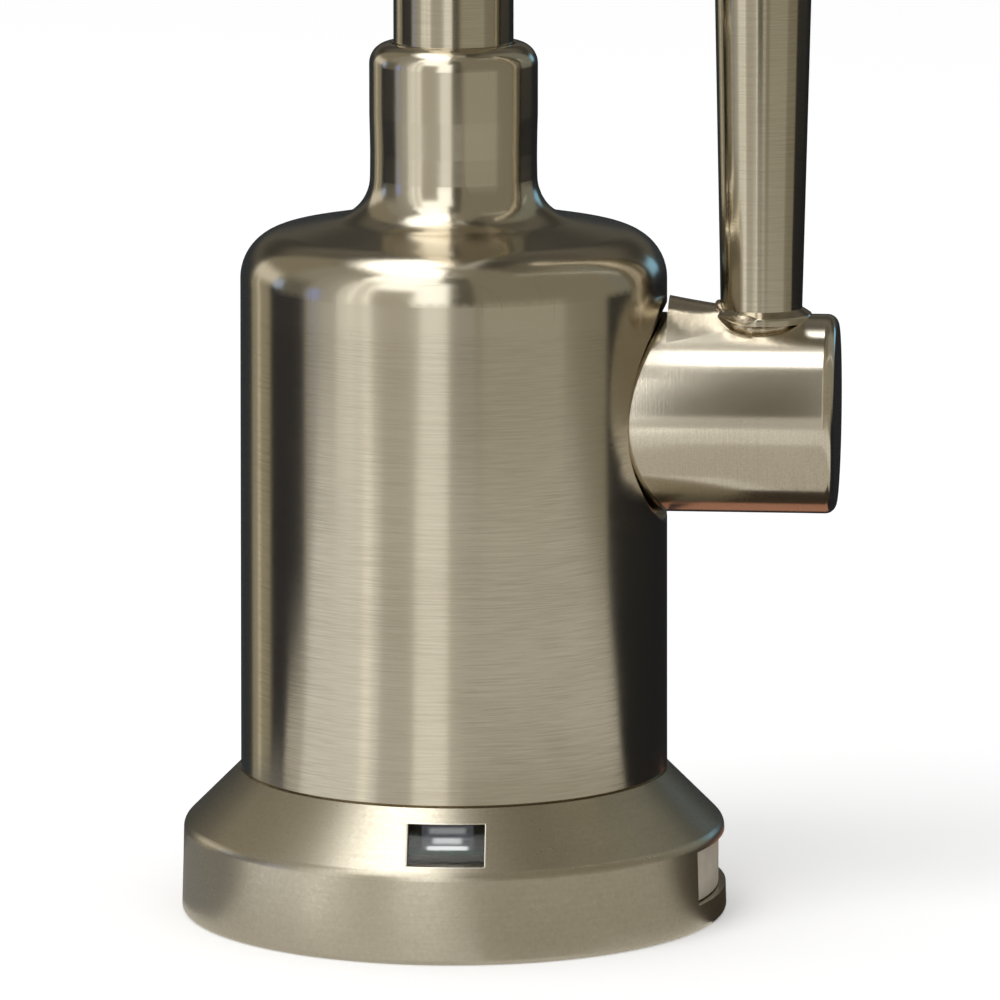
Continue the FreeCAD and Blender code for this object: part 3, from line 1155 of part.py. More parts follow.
# The foot closes the lower end of the spout and carries its two sealing rings and the clip.
def make_spout_foot():
    groove = f"({FOOT_RADIUS} - ring_groove_depth)"
    clip_groove = f"({FOOT_RADIUS} - clip_depth)"
    spigot = "(tube_radius - tube_wall - braze_gap)"
    lower = f"({SOCKET_LEVEL} + ring_groove_rise)"
    upper = f"({lower} + ring_groove_pitch)"
    clip_bottom = f"({SOCKET_LEVEL} + clip_rise)"
    clip_top = f"({clip_bottom} + clip_height)"
    turned("spout_foot", [
        ("foot_bore", FOOT_START),
        (FOOT_RADIUS, FOOT_START),
        (FOOT_RADIUS, lower),
        (groove, lower),
        (groove, f"{lower} + spout_groove_width"),
        (FOOT_RADIUS, f"{lower} + spout_groove_width"),
        (FOOT_RADIUS, upper),
        (groove, upper),
        (groove, f"{upper} + spout_groove_width"),
        (FOOT_RADIUS, f"{upper} + spout_groove_width"),
        (FOOT_RADIUS, clip_bottom),
        (clip_groove, clip_bottom),
        (clip_groove, f"{clip_top} + ring_gap"),
        (FOOT_RADIUS, f"{clip_top} + ring_gap"),
        (FOOT_RADIUS, TUBE_START),
        (spigot, TUBE_START),
        (spigot, f"{TUBE_START} + foot_spigot_length"),
        ("foot_bore", f"{TUBE_START} + foot_spigot_length"),
    ])
    section = "((ring_groove_depth + foot_inset + spout_gap) / 2 - ring_gap)"
    middle = f"{lower} + spout_groove_width / 2"
    turned_ring("spout_rings", [middle, f"{middle} + ring_groove_pitch"],
                f"{groove} + {section}", section)
    clip = turned("spout_clip", [
        (f"{clip_groove} + ring_gap", clip_bottom),
        (f"{SOCKET_RADIUS} - ring_gap", clip_bottom),
        (f"{SOCKET_RADIUS} - ring_gap", clip_top),
        (f"{clip_groove} + ring_gap", clip_top),
    ])
    opening = sketch_on(clip, "XY_Plane", clip_bottom)
    box_outline(opening, "-clip_opening / 2", "clip_opening / 2", "0", FAR)
    pocket(clip, opening, "clip_height", backwards=True)


def make_neck_bush():
    turned("neck_bush", [
        (SOCKET_RADIUS, f"{CORE_TOP} - bush_height"),
        (f"{SOCKET_RADIUS} + bush_wall", f"{CORE_TOP} - bush_height"),
        (f"{SOCKET_RADIUS} + bush_wall", CORE_TOP),
        (SOCKET_RADIUS, CORE_TOP),
    ])


make_base_ring()
make_base_plate()
make_base_screws()
make_base_gasket()
make_indicator_lens()
make_indicator_light()
make_circuit_board()
make_battery_contact()
make_battery_drawer()
make_coin_cell()
make_body_shell()
make_valve_core()
make_air_gap_insert()
make_drain_tube("drain_inlet_tube", "inlet_radius", "inlet_bore",
                f"{INSERT_TOP} - inlet_drop", "inlet_circle", "inlet_angle")
make_drain_tube("drain_outlet_tube", "outlet_radius", "outlet_bore",
                f"{FLANGE_TOP} + insert_floor", "outlet_circle", "outlet_angle")
make_threaded_shank()
make_washer("rubber_washer", "deck_thickness", "rubber_thickness")
make_washer("steel_washer", RUBBER_BOTTOM, "steel_thickness")
make_lock_washer()
make_mounting_nut()
make_cartridge()
make_valve_stem()
make_lever_rod(make_lever_hub())
grub_screw = make_socket_screw("set_screw", "grub_radius", "grub_socket",
                               "stem_flat + grub_gap", "hub_radius - grub_sink", "lever_reach", "0")
put_on_valve_axis(grub_screw)
make_socket_screw("keeper_screw", "keeper_radius", "keeper_socket",
                  KEEPER_START, KEEPER_END, "0", KEEPER_LEVEL)
make_spout_tube()
make_spout_foot()
make_neck_bush()
doc.recompute()


def check_everything():
    """Stop before anything is written if an object failed or a shape is unsound."""
    for thing in doc.Objects:
        if "Invalid" in thing.State or "Error" in thing.State:
            raise RuntimeError(f"{thing.Name} failed: {thing.State}")
        if thing.TypeId == "PartDesign::Pocket" and thing.Shape.Volume >= thing.BaseFeature.Shape.Volume:
            raise RuntimeError(f"{thing.Name} cuts nothing")
    for piece in pieces:
        if piece.Shape.isNull() or not piece.Shape.isValid() or piece.Shape.Volume <= 0:
            raise RuntimeError(f"{piece.Label} has no sound shape")


check_everything()
os.makedirs("parts", exist_ok=True)
for piece in pieces:
    piece.Shape.exportStep(f"parts/{piece.Label}.step")
    print(piece.Label, len(piece.Shape.Solids), round(piece.Shape.Volume, 1))
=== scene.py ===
# %% [markdown]
# # An air gap faucet in brushed nickel
#
# This scene dresses a faucet whose pieces were made in CAD. What is left to do here is the
# camera, the light, the finishes and the few forms that are too fine for CAD, such as the
# brazed joint of the lever.

# %% Load the frame
import math

import bpy
import numpy as np
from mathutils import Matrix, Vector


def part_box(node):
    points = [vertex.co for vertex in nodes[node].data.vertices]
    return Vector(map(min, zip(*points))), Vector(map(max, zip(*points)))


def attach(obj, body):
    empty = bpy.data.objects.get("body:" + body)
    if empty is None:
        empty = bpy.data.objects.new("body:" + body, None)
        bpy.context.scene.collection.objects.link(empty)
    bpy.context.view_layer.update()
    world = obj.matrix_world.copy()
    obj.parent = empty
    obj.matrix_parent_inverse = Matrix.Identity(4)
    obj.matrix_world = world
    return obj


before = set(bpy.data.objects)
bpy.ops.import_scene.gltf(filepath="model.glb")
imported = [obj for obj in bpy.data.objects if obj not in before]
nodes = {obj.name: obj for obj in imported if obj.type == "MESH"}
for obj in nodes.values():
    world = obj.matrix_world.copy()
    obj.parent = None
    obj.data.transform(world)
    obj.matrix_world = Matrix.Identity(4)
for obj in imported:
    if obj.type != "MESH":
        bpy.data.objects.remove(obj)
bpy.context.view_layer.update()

scene = bpy.context.scene
scene.view_settings.view_transform = "Standard"
MM = 0.001

# %% [markdown]
# ## The camera
#
# The photograph was taken from a little above, with a long lens: the rims of the base, the
# collar and the seam are flat ellipses, and their opening gives the height of the lens and its
# distance. The faucet is turned by five degrees, because a little of the right side of the
# base shows. A pitch and a turn are enough here, with no roll and no shift.

# %% Place the camera
TURN = math.radians(5.0)
PITCH = math.radians(9.941)
CAMERA_REACH = 0.8703
CAMERA_HEIGHT = 0.1966
CAMERA_SIDE = 0.0049
LENS_IN_WIDTHS = 8.3
NEAREST_SEEN = 0.05

lens = bpy.data.cameras.new("camera")
lens.sensor_width = 36.0
lens.lens = LENS_IN_WIDTHS * lens.sensor_width
lens.clip_start = NEAREST_SEEN
camera = bpy.data.objects.new("camera", lens)
scene.collection.objects.link(camera)
camera.location = (
    CAMERA_SIDE * math.cos(TURN) + CAMERA_REACH * math.sin(TURN),
    CAMERA_SIDE * math.sin(TURN) - CAMERA_REACH * math.cos(TURN),
    CAMERA_HEIGHT,
)
camera.rotation_euler = (math.pi / 2 - PITCH, 0, TURN)
scene.camera = camera
print("lens", round(lens.lens, 1), "mm")

# %% [markdown]
# ## Shader maths that reads like maths
#
# A finish is a graph of nodes. Written node by node it is long and hard to follow, so one small
# class wraps a socket and gives it the operators + - * /. A second class holds the graph. One
# method of it adds every kind of node: the node's settings come first, then the values or links
# of its sockets.

# %% A socket with operators
class Signal:
    """An output socket. Arithmetic on it adds Math nodes to its recipe."""

    def __init__(self, recipe, socket):
        self.recipe = recipe
        self.socket = socket

    def __add__(self, other):
        return self.recipe.maths("ADD", self, other)

    def __radd__(self, other):
        return self.recipe.maths("ADD", other, self)

    def __sub__(self, other):
        return self.recipe.maths("SUBTRACT", self, other)

    def __rsub__(self, other):
        return self.recipe.maths("SUBTRACT", other, self)

    def __mul__(self, other):
        return self.recipe.maths("MULTIPLY", self, other)

    def __rmul__(self, other):
        return self.recipe.maths("MULTIPLY", other, self)

    def __truediv__(self, other):
        return self.recipe.maths("DIVIDE", self, other)

    def __rtruediv__(self, other):
        return self.recipe.maths("DIVIDE", other, self)

    def step(self, low, high):
        """0 below low, 1 above high, and a smooth rise between them."""
        settings = {"interpolation_type": "SMOOTHSTEP"}
        return self.recipe.node("ShaderNodeMapRange", settings, [self, low, high, 0.0, 1.0])

    def zigzag(self):
        """Up from 0 to 1 and down again as this signal grows by one."""
        return self.recipe.maths("PINGPONG", self, 0.5) * 2


# %% A recipe for a graph of nodes
class Recipe:
    """A node tree and the one method that adds nodes to it."""

    def __init__(self, owner):
        owner.use_nodes = True
        self.tree = owner.node_tree
        self.tree.nodes.clear()

    def node(self, kind, settings=None, inputs=(), output=0):
        made = self.tree.nodes.new(kind)
        for key, value in (settings or {}).items():
            setattr(made, key, value)
        pairs = inputs.items() if isinstance(inputs, dict) else enumerate(inputs)
        for place, value in pairs:
            if isinstance(value, Signal):
                self.tree.links.new(value.socket, made.inputs[place])
            else:
                made.inputs[place].default_value = value
        return Signal(self, made.outputs[output]) if len(made.outputs) else None

    def maths(self, operation, *values):
        return self.node("ShaderNodeMath", {"operation": operation}, values)

    def axes(self):
        """The three Object coordinates, in metres, as numbers."""
        where = self.node("ShaderNodeTexCoord", output="Object")
        split = self.node("ShaderNodeSeparateXYZ", None, [where])
        return [Signal(self, socket) for socket in split.socket.node.outputs]

    def noise(self, size, detail=2.0, roughness=0.5, turn=(0.0, 0.0, 0.0)):
        """Soft noise on Object coordinates. Its size is one length, or one for each axis.

        The turn comes after the coordinates are divided by the size, so it only picks another
        part of the noise.
        """
        where = self.node("ShaderNodeTexCoord", output="Object")
        stretch = tuple(1 / length for length in np.broadcast_to(size, 3))
        placing = {"Vector": where, "Rotation": turn, "Scale": stretch}
        placed = self.node("ShaderNodeMapping", None, placing)
        values = {"Vector": placed, "Scale": 1.0, "Detail": detail, "Roughness": roughness}
        return self.node("ShaderNodeTexNoise", {"noise_dimensions": "3D"}, values)

    def colours(self, factor, first, second):
        """The first colour where the factor is 0 and the second where it is 1.

        A Mix node also has sockets for numbers and vectors: its colours go into 6 and 7 and
        come out of 2.
        """
        first, second = [(*each, 1.0) if isinstance(each, tuple) else each for each in (first, second)]
        mixed = {0: factor, 6: first, 7: second}
        return self.node("ShaderNodeMix", {"data_type": "RGBA"}, mixed, output=2)

    def bump(self, height, distance):
        values = {"Strength": 1.0, "Distance": distance, "Height": height}
        return self.node("ShaderNodeBump", None, values)


# %% From a recipe to a material
def finish(name, build):
    """A material whose surface is what build(recipe) returns as Principled sockets."""
    material = bpy.data.materials.new(name)
    recipe = Recipe(material)
    surface = recipe.node("ShaderNodeBsdfPrincipled", None, build(recipe))
    recipe.node("ShaderNodeOutputMaterial", None, [surface])
    print("finish", name, "with", len(recipe.tree.nodes), "nodes")
    return material


# %% [markdown]
# ## The deck
#
# The faucet stands on a pale deck with a hole under the base, as a sink deck has. A plain plane
# would close that hole, so the deck is a flat ring, worked out from a radius and an angle. It is
# clear from below, so that the clamping parts can be looked at.

# %% Meshes from grids of points
def new_mesh(name, points, faces):
    """A mesh object from an array of points and a list of faces, smooth all over."""
    mesh = bpy.data.meshes.new(name)
    mesh.from_pydata(points.reshape(-1, 3).tolist(), [], faces)
    mesh.polygons.foreach_set("use_smooth", [True] * len(mesh.polygons))
    thing = bpy.data.objects.new(name, mesh)
    scene.collection.objects.link(thing)
    return thing


def grid_faces(rows, columns, rows_close=False, columns_close=False):
    """The quads of a grid of points, rows by columns, which may close on itself each way."""
    row = np.arange(rows if rows_close else rows - 1)[:, None]
    column = np.arange(columns if columns_close else columns - 1)[None, :]
    next_row = (row + 1) % rows
    next_column = (column + 1) % columns
    corners = [row * columns + column, row * columns + next_column,
               next_row * columns + next_column, next_row * columns + column]
    return np.stack(np.broadcast_arrays(*corners), -1).reshape(-1, 4).tolist()


# %% A deck with its hole
DECK_HOLE = 16.0 * MM
DECK_RINGS = [6.0, 0.5, 0.1, DECK_HOLE]
DECK_COLUMNS = 96
DECK_LEVEL = -0.02 * MM
DECK_COLOUR = (0.93, 0.93, 0.93, 1.0)
DECK_LIFT = 0.18
WHITE = (1.0, 1.0, 1.0, 1.0)


def make_deck():
    """A flat ring: radius runs from the far edge to the hole, angle goes all the way round."""
    angle = np.linspace(0, 2 * math.pi, DECK_COLUMNS, endpoint=False)[None, :]
    radius = np.array(DECK_RINGS)[:, None]
    level = DECK_LEVEL + 0 * radius * angle
    points = np.stack([radius * np.cos(angle), radius * np.sin(angle), level], -1)
    return new_mesh("deck", points, grid_faces(len(DECK_RINGS), DECK_COLUMNS, columns_close=True))


def pale_deck():
    """Matt and pale from above, a little lifted where the camera sees it, and clear from below."""
    material = bpy.data.materials.new("pale_deck")
    recipe = Recipe(material)
    pale = recipe.node("ShaderNodeBsdfDiffuse", None, {"Color": DECK_COLOUR})
    seen_by_camera = recipe.node("ShaderNodeLightPath", output="Is Camera Ray")
    glow = {"Color": WHITE, "Strength": seen_by_camera * DECK_LIFT}
    lifted = recipe.node("ShaderNodeAddShader", None, [pale, recipe.node("ShaderNodeEmission", None, glow)])
    clear = recipe.node("ShaderNodeBsdfTransparent")
    behind = recipe.node("ShaderNodeNewGeometry", output="Backfacing")
    surface = recipe.node("ShaderNodeMixShader", None, [behind, lifted, clear])
    recipe.node("ShaderNodeOutputMaterial", None, [surface])
    return material


deck = make_deck()
deck.visible_glossy = False
deck.data.materials.append(pale_deck())
print("deck:", len(deck.data.polygons), "faces")

# %% [markdown]
# ## A studio for bare metal
#
# Bare metal has hardly a colour of its own: it shows what stands round it. So the studio has
# something to show, which only reflections see. Far off is a room: the inside of a great
# sphere, with soft-edged patches of light on it for the window, the ceiling, the walls and a
# few upright strips. It could be built of many lamps and panels, but their hard edges would show
# in the metal. Instead the light is worked out for all points of the sphere at once and kept in
# a colour attribute, so one material serves the whole room.

# %% The patches of the room
ROOM_LIGHT = (0.28, 0.255, 0.195)
# Each patch: its name, its azimuths and elevations in degrees as the camera sees them, half the
# width of its soft edges sideways and up, and its light. Azimuth 0 is towards the camera and 90
# is to the right of the picture. A later patch lies over the ones before it.
ROOM_PATCHES = [
    ("floor_right", (15, 62), (-95, 0), (2, 12), (0.43, 0.405, 0.32)),
    ("rear_low", (134, 250), (-95, 12), (3, 7), (0.035, 0.04, 0.045)),
    ("rear_middle", (134, 250), (12, 36), (4, 12), (0.055, 0.052, 0.045)),
    ("rear_high", (134, 250), (36, 95), (5, 15), (0.12, 0.11, 0.09)),
    ("right_high", (60, 136), (60, 95), (5, 15), (0.16, 0.145, 0.11)),
    ("right_middle", (98, 136), (-2, 50), (3, 9), (0.25, 0.25, 0.21)),
    ("right_dark", (91, 184), (-95, -3), (1.5, 5), (0.018, 0.018, 0.02)),
    ("blue_right", (137, 149), (3, 15), (1.5, 3), (0.32, 0.62, 0.85)),
    ("middle", (-4, 6), (-95, 40), (2, 6), (0.54, 0.51, 0.43)),
    ("middle_high", (-4, 7), (40, 62), (3, 9), (0.80, 0.78, 0.70)),
    ("gap", (-46, -20), (-95, 29), (2, 6), (0.54, 0.51, 0.43)),
    ("wall_near", (-66, -44), (-95, 40), (1.5, 4.5), (0.93, 0.91, 0.83)),
    ("wall_far", (-76, -66), (-95, 52), (1.5, 4.5), (0.46, 0.445, 0.38)),
    ("wall_end", (-87, -76), (-95, 56), (1.5, 4.5), (0.40, 0.38, 0.32)),
    ("side_low", (-117, -87.5), (-95, 2), (1.2, 8), (0.025, 0.025, 0.03)),
    ("side_middle", (-108, -87), (-2, 24), (2.5, 7.5), (0.17, 0.16, 0.13)),
    ("side_high", (-108, -87), (24, 58), (4, 12), (0.36, 0.34, 0.28)),
    ("wood_low", (-140, -117), (-95, 8), (1.5, 4.5), (0.36, 0.325, 0.235)),
    ("wood_high", (-140, -107), (8, 57), (3, 9), (0.30, 0.27, 0.20)),
    ("shine_left", (-139, -112), (5, 20), (2.5, 5), (0.85, 0.80, 0.68)),
    ("blue_left", (-114, -106), (2, 14), (1.5, 3), (0.50, 0.62, 0.85)),
    ("blue_near", (-84, -77), (-5, 14), (1.5, 3), (0.40, 0.46, 0.80)),
    ("strip_rear", (-131, -129), (-60, 6), (0.7, 6), (1.0, 0.94, 0.78)),
    ("ceiling", (-184, -1), (62, 85), (2.0, 6), (3.0, 3.0, 2.9)),
    ("window_middle", (-46, -17), (29, 44), (2.0, 6), (2.0, 2.0, 1.93)),
    ("window_top", (-62, -2), (42, 64), (2.0, 6), (2.1, 2.1, 2.03)),
    ("window_foot", (-18, -3), (-60, -4), (1, 6), (1.10, 1.08, 1.00)),
    ("window_low", (-21.5, -2), (-2, 60), (1.6, 7), (1.85, 1.85, 1.78)),
    ("strip_outer", (-58.5, -55.5), (-4, 50), (0.7, 9), (1.5, 1.47, 1.37)),
    ("strip_inner", (-49.5, -46), (-4, 50), (0.7, 9), (1.5, 1.47, 1.37)),
]
brightest = max(ROOM_PATCHES, key=lambda patch: sum(patch[-1]))
print("patches:", len(ROOM_PATCHES), "and the brightest is the", brightest[0])

# %% Glowing cards that only reflections see
FADE_START, FADE_END = 0.29, 0.42


def show_to_reflections_only(card):
    card.visible_camera = False
    card.visible_diffuse = False
    card.visible_transmission = False
    card.visible_shadow = False
    card.visible_volume_scatter = False


def glowing(name, light, fades=False):
    """A material that glows with a colour, or with what light(recipe) returns.

    A card that fades gives way to the room behind it as the distance to the faucet grows.
    """
    material = bpy.data.materials.new(name)
    material.cycles.emission_sampling = "NONE"
    recipe = Recipe(material)
    colour = light(recipe) if callable(light) else (*light, 1.0)
    surface = recipe.node("ShaderNodeEmission", None, [colour, 1.0])
    if fades:
        x, y = recipe.axes()[:2]
        gone = recipe.maths("POWER", x * x + y * y, 0.5).step(FADE_START, FADE_END)
        clear = recipe.node("ShaderNodeBsdfTransparent")
        surface = recipe.node("ShaderNodeMixShader", None, [gone, surface, clear])
    recipe.node("ShaderNodeOutputMaterial", None, [surface])
    return material


# %% The room as a sphere
ROOM_RADIUS = 8.0
STEP_ACROSS, STEP_UP = 0.5, 1.0


def inside(angle, limits, soft):
    """1 inside the limits and 0 outside, with a smooth change within soft degrees of each."""
    middle, half = (limits[0] + limits[1]) / 2, (limits[1] - limits[0]) / 2
    away = np.abs((angle - middle + 180) % 360 - 180)
    share = np.clip((half + soft - away) / (2 * soft), 0, 1)
    return share ** 2 * (3 - 2 * share)


def room_light(across, up):
    """Even at first. Each patch is laid over it in turn: new = old + inside * (patch - old)."""
    light = np.ones((up.size, across.size, 4))
    light[..., :3] = ROOM_LIGHT
    for _, azimuths, elevations, soft, colour in ROOM_PATCHES:
        share = inside(across, azimuths, soft[0]) * inside(up, elevations, soft[1])
        light[..., :3] += share[..., None] * (np.array(colour) - light[..., :3])
    return light


def attribute_light(recipe):
    return recipe.node("ShaderNodeAttribute", {"attribute_name": "light"})


def make_room():
    """A sphere: azimuth runs one way over the grid and elevation the other."""
    across = np.arange(-180, 180, STEP_ACROSS)[None, :]
    up = np.arange(-90, 90 + STEP_UP, STEP_UP)[:, None]
    turned, raised = np.radians(across) + TURN, np.radians(up)
    points = ROOM_RADIUS * np.stack([np.sin(turned) * np.cos(raised), -np.cos(turned) * np.cos(raised),
                                     np.sin(raised) + 0 * turned], -1)
    room = new_mesh("card_room", points, grid_faces(up.size, across.size, columns_close=True))
    light = room_light(across, up)
    room.data.attributes.new("light", "FLOAT_COLOR", "POINT").data.foreach_set("color", light.ravel())
    room.data.materials.append(glowing("card_room", attribute_light))
    show_to_reflections_only(room)
    return light


light_on_room = make_room()
print("mean light of the room:", np.round(light_on_room.mean((0, 1))[:3], 2))

# %% [markdown]
# ## Cards close to the faucet
#
# What stands near the faucet, such as the light tabletop, looks different from each point of the
# metal, and a far room can't do that. So it is made of flat cards at their real distance. The
# wall shows the tabletop as a bright panel that widens downwards. A card fades with its distance
# where its far edge would draw a hard line, and two upright cards keep the window off the hub.

# %% Level cards, upright cards and a rail
# Lengths are in millimetres as the camera sees them: to the right, away from it and up.
OVERHEAD = 300
# Each level card: its name, its light, its height and its corners to the right and away.
LEVEL_CARDS = [
    ("table", (0.63, 0.61, 0.55), -0.3,
     [(-150, 10), (150, 6), (205, -9), (330, -165), (372, -392), (-425, -392), (-352, -92), (-203, -30)]),
    ("table_left", (0.93, 0.93, 0.88), -0.2,
     [(-60, -8), (-203, -33), (-350, -94), (-420, -390), (-300, -390), (-39, -50)]),
    ("table_strip", (1.25, 1.22, 1.12), -0.1, [(-34, -31), (-380, -352), (-350, -390), (-33, -36)]),
    ("table_streak", (1.05, 1.03, 0.95), -0.1, [(-20, -56), (-140, -390), (-18, -390), (-3, -60)]),
    ("shade_right", (0.45, 0.425, 0.36), -0.15,
     [(4, -32), (24, -26), (36, 0), (110, 8), (95, -70), (40, -112), (8, -112)]),
    ("shade_left", (0.24, 0.235, 0.22), -0.15,
     [(-33, -10), (-70, -14), (-110, 20), (-70, 50), (-26, 24)]),
    # A dark card under the hub: a painted shadow, the hub's shade on the tabletop as the hub mirrors it.
    ("shadow_under_hub", (0.04, 0.03, 0.02), -0.1, [(24, -9), (75, -9), (75, 18), (24, 18)]),
    ("behind_hub", (0.34, 0.17, 0.11), -0.1, [(24, 18), (56, 18), (56, 62), (24, 62)]),
    ("over_line", (0.50, 0.48, 0.43), OVERHEAD, [(5, -33), (28, -33), (28, 22), (5, 22)]),
    ("over_hump", (0.07, 0.065, 0.05), OVERHEAD, [(28, -14), (64, -14), (64, 70), (28, 70)]),
    ("over_hub", (0.62, 0.60, 0.54), OVERHEAD, [(5, 22), (28, 22), (28, 110), (5, 110)]),
]
# Each flag stands square to the camera's line: its name, its light, its foot and its top.
FLAG_LEFT, FLAG_RIGHT, FLAG_AWAY = -5, 28, -150
FLAGS = [
    ("flag_low", (0.43, 0.41, 0.36), 30, 65),
    ("flag_high", (0.11, 0.10, 0.075), 65, 345),
]
RAIL_LIGHT = (1.5, 1.45, 1.3)
RAIL = [(1321, -913, 2896), (2978, 1447, 814), (2978, 1447, 900), (1321, -913, 3000)]


def near_card(name, light, corners):
    """One flat face through its corners, turned with the camera about the upright axis."""
    right, away, up = np.array(corners, float).T * MM
    points = np.stack([right * math.cos(TURN) - away * math.sin(TURN),
                       right * math.sin(TURN) + away * math.cos(TURN), up], -1)
    card = new_mesh(f"card_{name}", points, [list(range(len(corners)))])
    card.data.materials.append(glowing(f"card_{name}", light, fades=name.startswith("table")))
    show_to_reflections_only(card)


for name, light, height, corners in LEVEL_CARDS:
    near_card(name, light, np.column_stack([corners, np.full(len(corners), height)]))
for name, light, foot, top in FLAGS:
    near_card(name, light, [(FLAG_LEFT, FLAG_AWAY, foot), (FLAG_RIGHT, FLAG_AWAY, foot),
                            (FLAG_RIGHT, FLAG_AWAY, top), (FLAG_LEFT, FLAG_AWAY, top)])
near_card("rail", RAIL_LIGHT, RAIL)
print("near cards:", len(LEVEL_CARDS) + len(FLAGS) + 1)

# %% [markdown]
# ## Sky and lamp
#
# Matt surfaces are lit by an even sky and by one large soft lamp, which gives the faint shadow
# on the deck. A second lamp would only blur that shadow. The camera, reflections and glass see
# the sky as white, and it lights matt surfaces a little less.

# %% An even sky and one soft lamp
SKY_LIGHT = 0.78
SEEN_AS_WHITE = ("Is Camera Ray", "Is Glossy Ray", "Is Transmission Ray")
LAMP_SIZE = 0.9
LAMP_POWER = 7.0
LAMP_PLACE = (-0.55, -0.75, 1.25)
LAMP_TILT, LAMP_TURN = math.radians(37), math.radians(-36)


def make_sky():
    """Strength 1 for the rays that see it as white, and SKY_LIGHT for the rest."""
    world = bpy.data.worlds.new("studio")
    recipe = Recipe(world)
    by_camera, by_gloss, by_glass = [recipe.node("ShaderNodeLightPath", output=ray) for ray in SEEN_AS_WHITE]
    direct = recipe.maths("MAXIMUM", by_camera, recipe.maths("MAXIMUM", by_gloss, by_glass))
    strength = SKY_LIGHT + direct * (1.0 - SKY_LIGHT)
    sky = recipe.node("ShaderNodeBackground", None, {"Color": WHITE, "Strength": strength})
    recipe.node("ShaderNodeOutputWorld", None, [sky])
    return world


def soft_lamp():
    """A round area lamp up at the front left, which metal doesn't mirror."""
    light = bpy.data.lights.new("soft_lamp", "AREA")
    light.shape = "DISK"
    light.size = LAMP_SIZE
    light.energy = LAMP_POWER
    lamp = bpy.data.objects.new("soft_lamp", light)
    scene.collection.objects.link(lamp)
    lamp.location = LAMP_PLACE
    lamp.rotation_euler = (LAMP_TILT, 0, LAMP_TURN)
    lamp.visible_glossy = False
    return lamp


scene.world = make_sky()
print("sky at", SKY_LIGHT, "and a lamp at", tuple(round(x, 2) for x in soft_lamp().location))

# %% [markdown]
# ## Brushed nickel
#
# The body, the hub and the tube are nickel over brass, brushed on a lathe. Nickel is a warm
# grey. Brushing leaves fine grooves round the axis, so a reflection stays sharp round the
# piece and is drawn out along its axis. Grooves could be modelled, but they are finer than
# a pixel of the picture. So a noise that is squeezed along the axis and stretched round it
# gives them, with no seam. It varies the colour, the roughness and a bump of a few thousandths
# of a millimetre, and on all but the hub an anisotropic highlight is turned across it.

# %% Grooves and the nickel under them
NICKEL = (0.60, 0.55, 0.455)
NICKEL_DARK = (0.48, 0.435, 0.35)
GROOVE = 0.14 * MM
STROKE = 5.0 * MM
SMUDGE = 9.0 * MM
QUARTER_TURN = 0.25
# How much the grooves and the smudges darken the nickel, and the share that is always there.
GROOVE_TINT, SMUDGE_TINT, TINT = 1.6, 0.5, 0.38
SMUDGE_ROUGHNESS = 0.05


def grooves(recipe, axis, groove=GROOVE, stroke=STROKE):
    """Fine lines round the axis: noise with short steps along it and long ones across it."""
    sizes = [stroke, stroke, stroke]
    sizes["XYZ".index(axis)] = groove
    return recipe.noise(sizes, detail=3.0, roughness=0.65)


def nickel(recipe, lines, roughness, depth, spread=0.14, anisotropic=0.5,
           pair=(NICKEL, NICKEL_DARK)):
    """Nickel with grooves: they vary its colour, its roughness and its bump."""
    smudge = recipe.noise(SMUDGE)
    tint = (lines - 0.5) * GROOVE_TINT + (smudge - 0.5) * SMUDGE_TINT + TINT
    return {
        "Base Color": recipe.colours(tint.step(0.0, 1.0), *pair),
        "Metallic": 1.0,
        "Roughness": roughness + (lines - 0.5) * spread + (smudge - 0.5) * SMUDGE_ROUGHNESS,
        "Anisotropic": anisotropic,
        "Anisotropic Rotation": QUARTER_TURN,
        "Normal": recipe.bump(lines, depth),
    }


# %% The body and the tube
POLISHED_FROM, POLISHED_TO = 63.5 * MM, 68 * MM
SCRATCH_LENGTH, SCRATCH_WIDTH = 6.0 * MM, 0.10 * MM
SCRATCH_LOW, SCRATCH_HIGH = 0.72, 0.76
TUBE_GROOVE = 0.12 * MM


def scratches(recipe, turn):
    """A few long thin marks: the highest tops of a noise that is drawn out along X and Z."""
    marks = recipe.noise((SCRATCH_LENGTH, SCRATCH_WIDTH, SCRATCH_LENGTH), detail=1.0, turn=turn)
    return marks.step(SCRATCH_LOW, SCRATCH_HIGH)


def body_nickel(recipe):
    """The wall is brushed. The shoulder and the neck were polished after it, and got scratched."""
    polished = recipe.axes()[2].step(POLISHED_FROM, POLISHED_TO)
    marks = scratches(recipe, (0.3, 0.5, 0.9)) + scratches(recipe, (1.2, -0.4, -0.6))
    lines = grooves(recipe, "Z") * (1 - polished * 0.7) + marks * polished * 0.5
    return nickel(recipe, lines, 0.17 + polished * 0.05, 2.4e-6)


def tube_nickel(recipe):
    return nickel(recipe, grooves(recipe, "Z", TUBE_GROOVE), 0.16, 1.2e-6)


body_finish = finish("brushed_nickel_body", body_nickel)
tube_finish = finish("brushed_nickel_tube", tube_nickel)

# %% [markdown]
# ## The hub and the base
#
# The hub is paler than the body: it was brushed round its own axis, which is X, and then
# blasted a little, which leaves a speckle over the grooves. The base is a casting with a satin
# finish, so its grooves are few and a faint mottle shows. Each could have a recipe of its own,
# but the same one with a second noise in its lines keeps all the nickel alike.

# %% Speckled hub and mottled base
NICKEL_PALE = (0.84, 0.775, 0.665)
NICKEL_PALE_DARK = (0.66, 0.60, 0.50)
SPECKLE = 0.22 * MM
MOTTLE = 0.45 * MM
BASE_GROOVE = 0.25 * MM


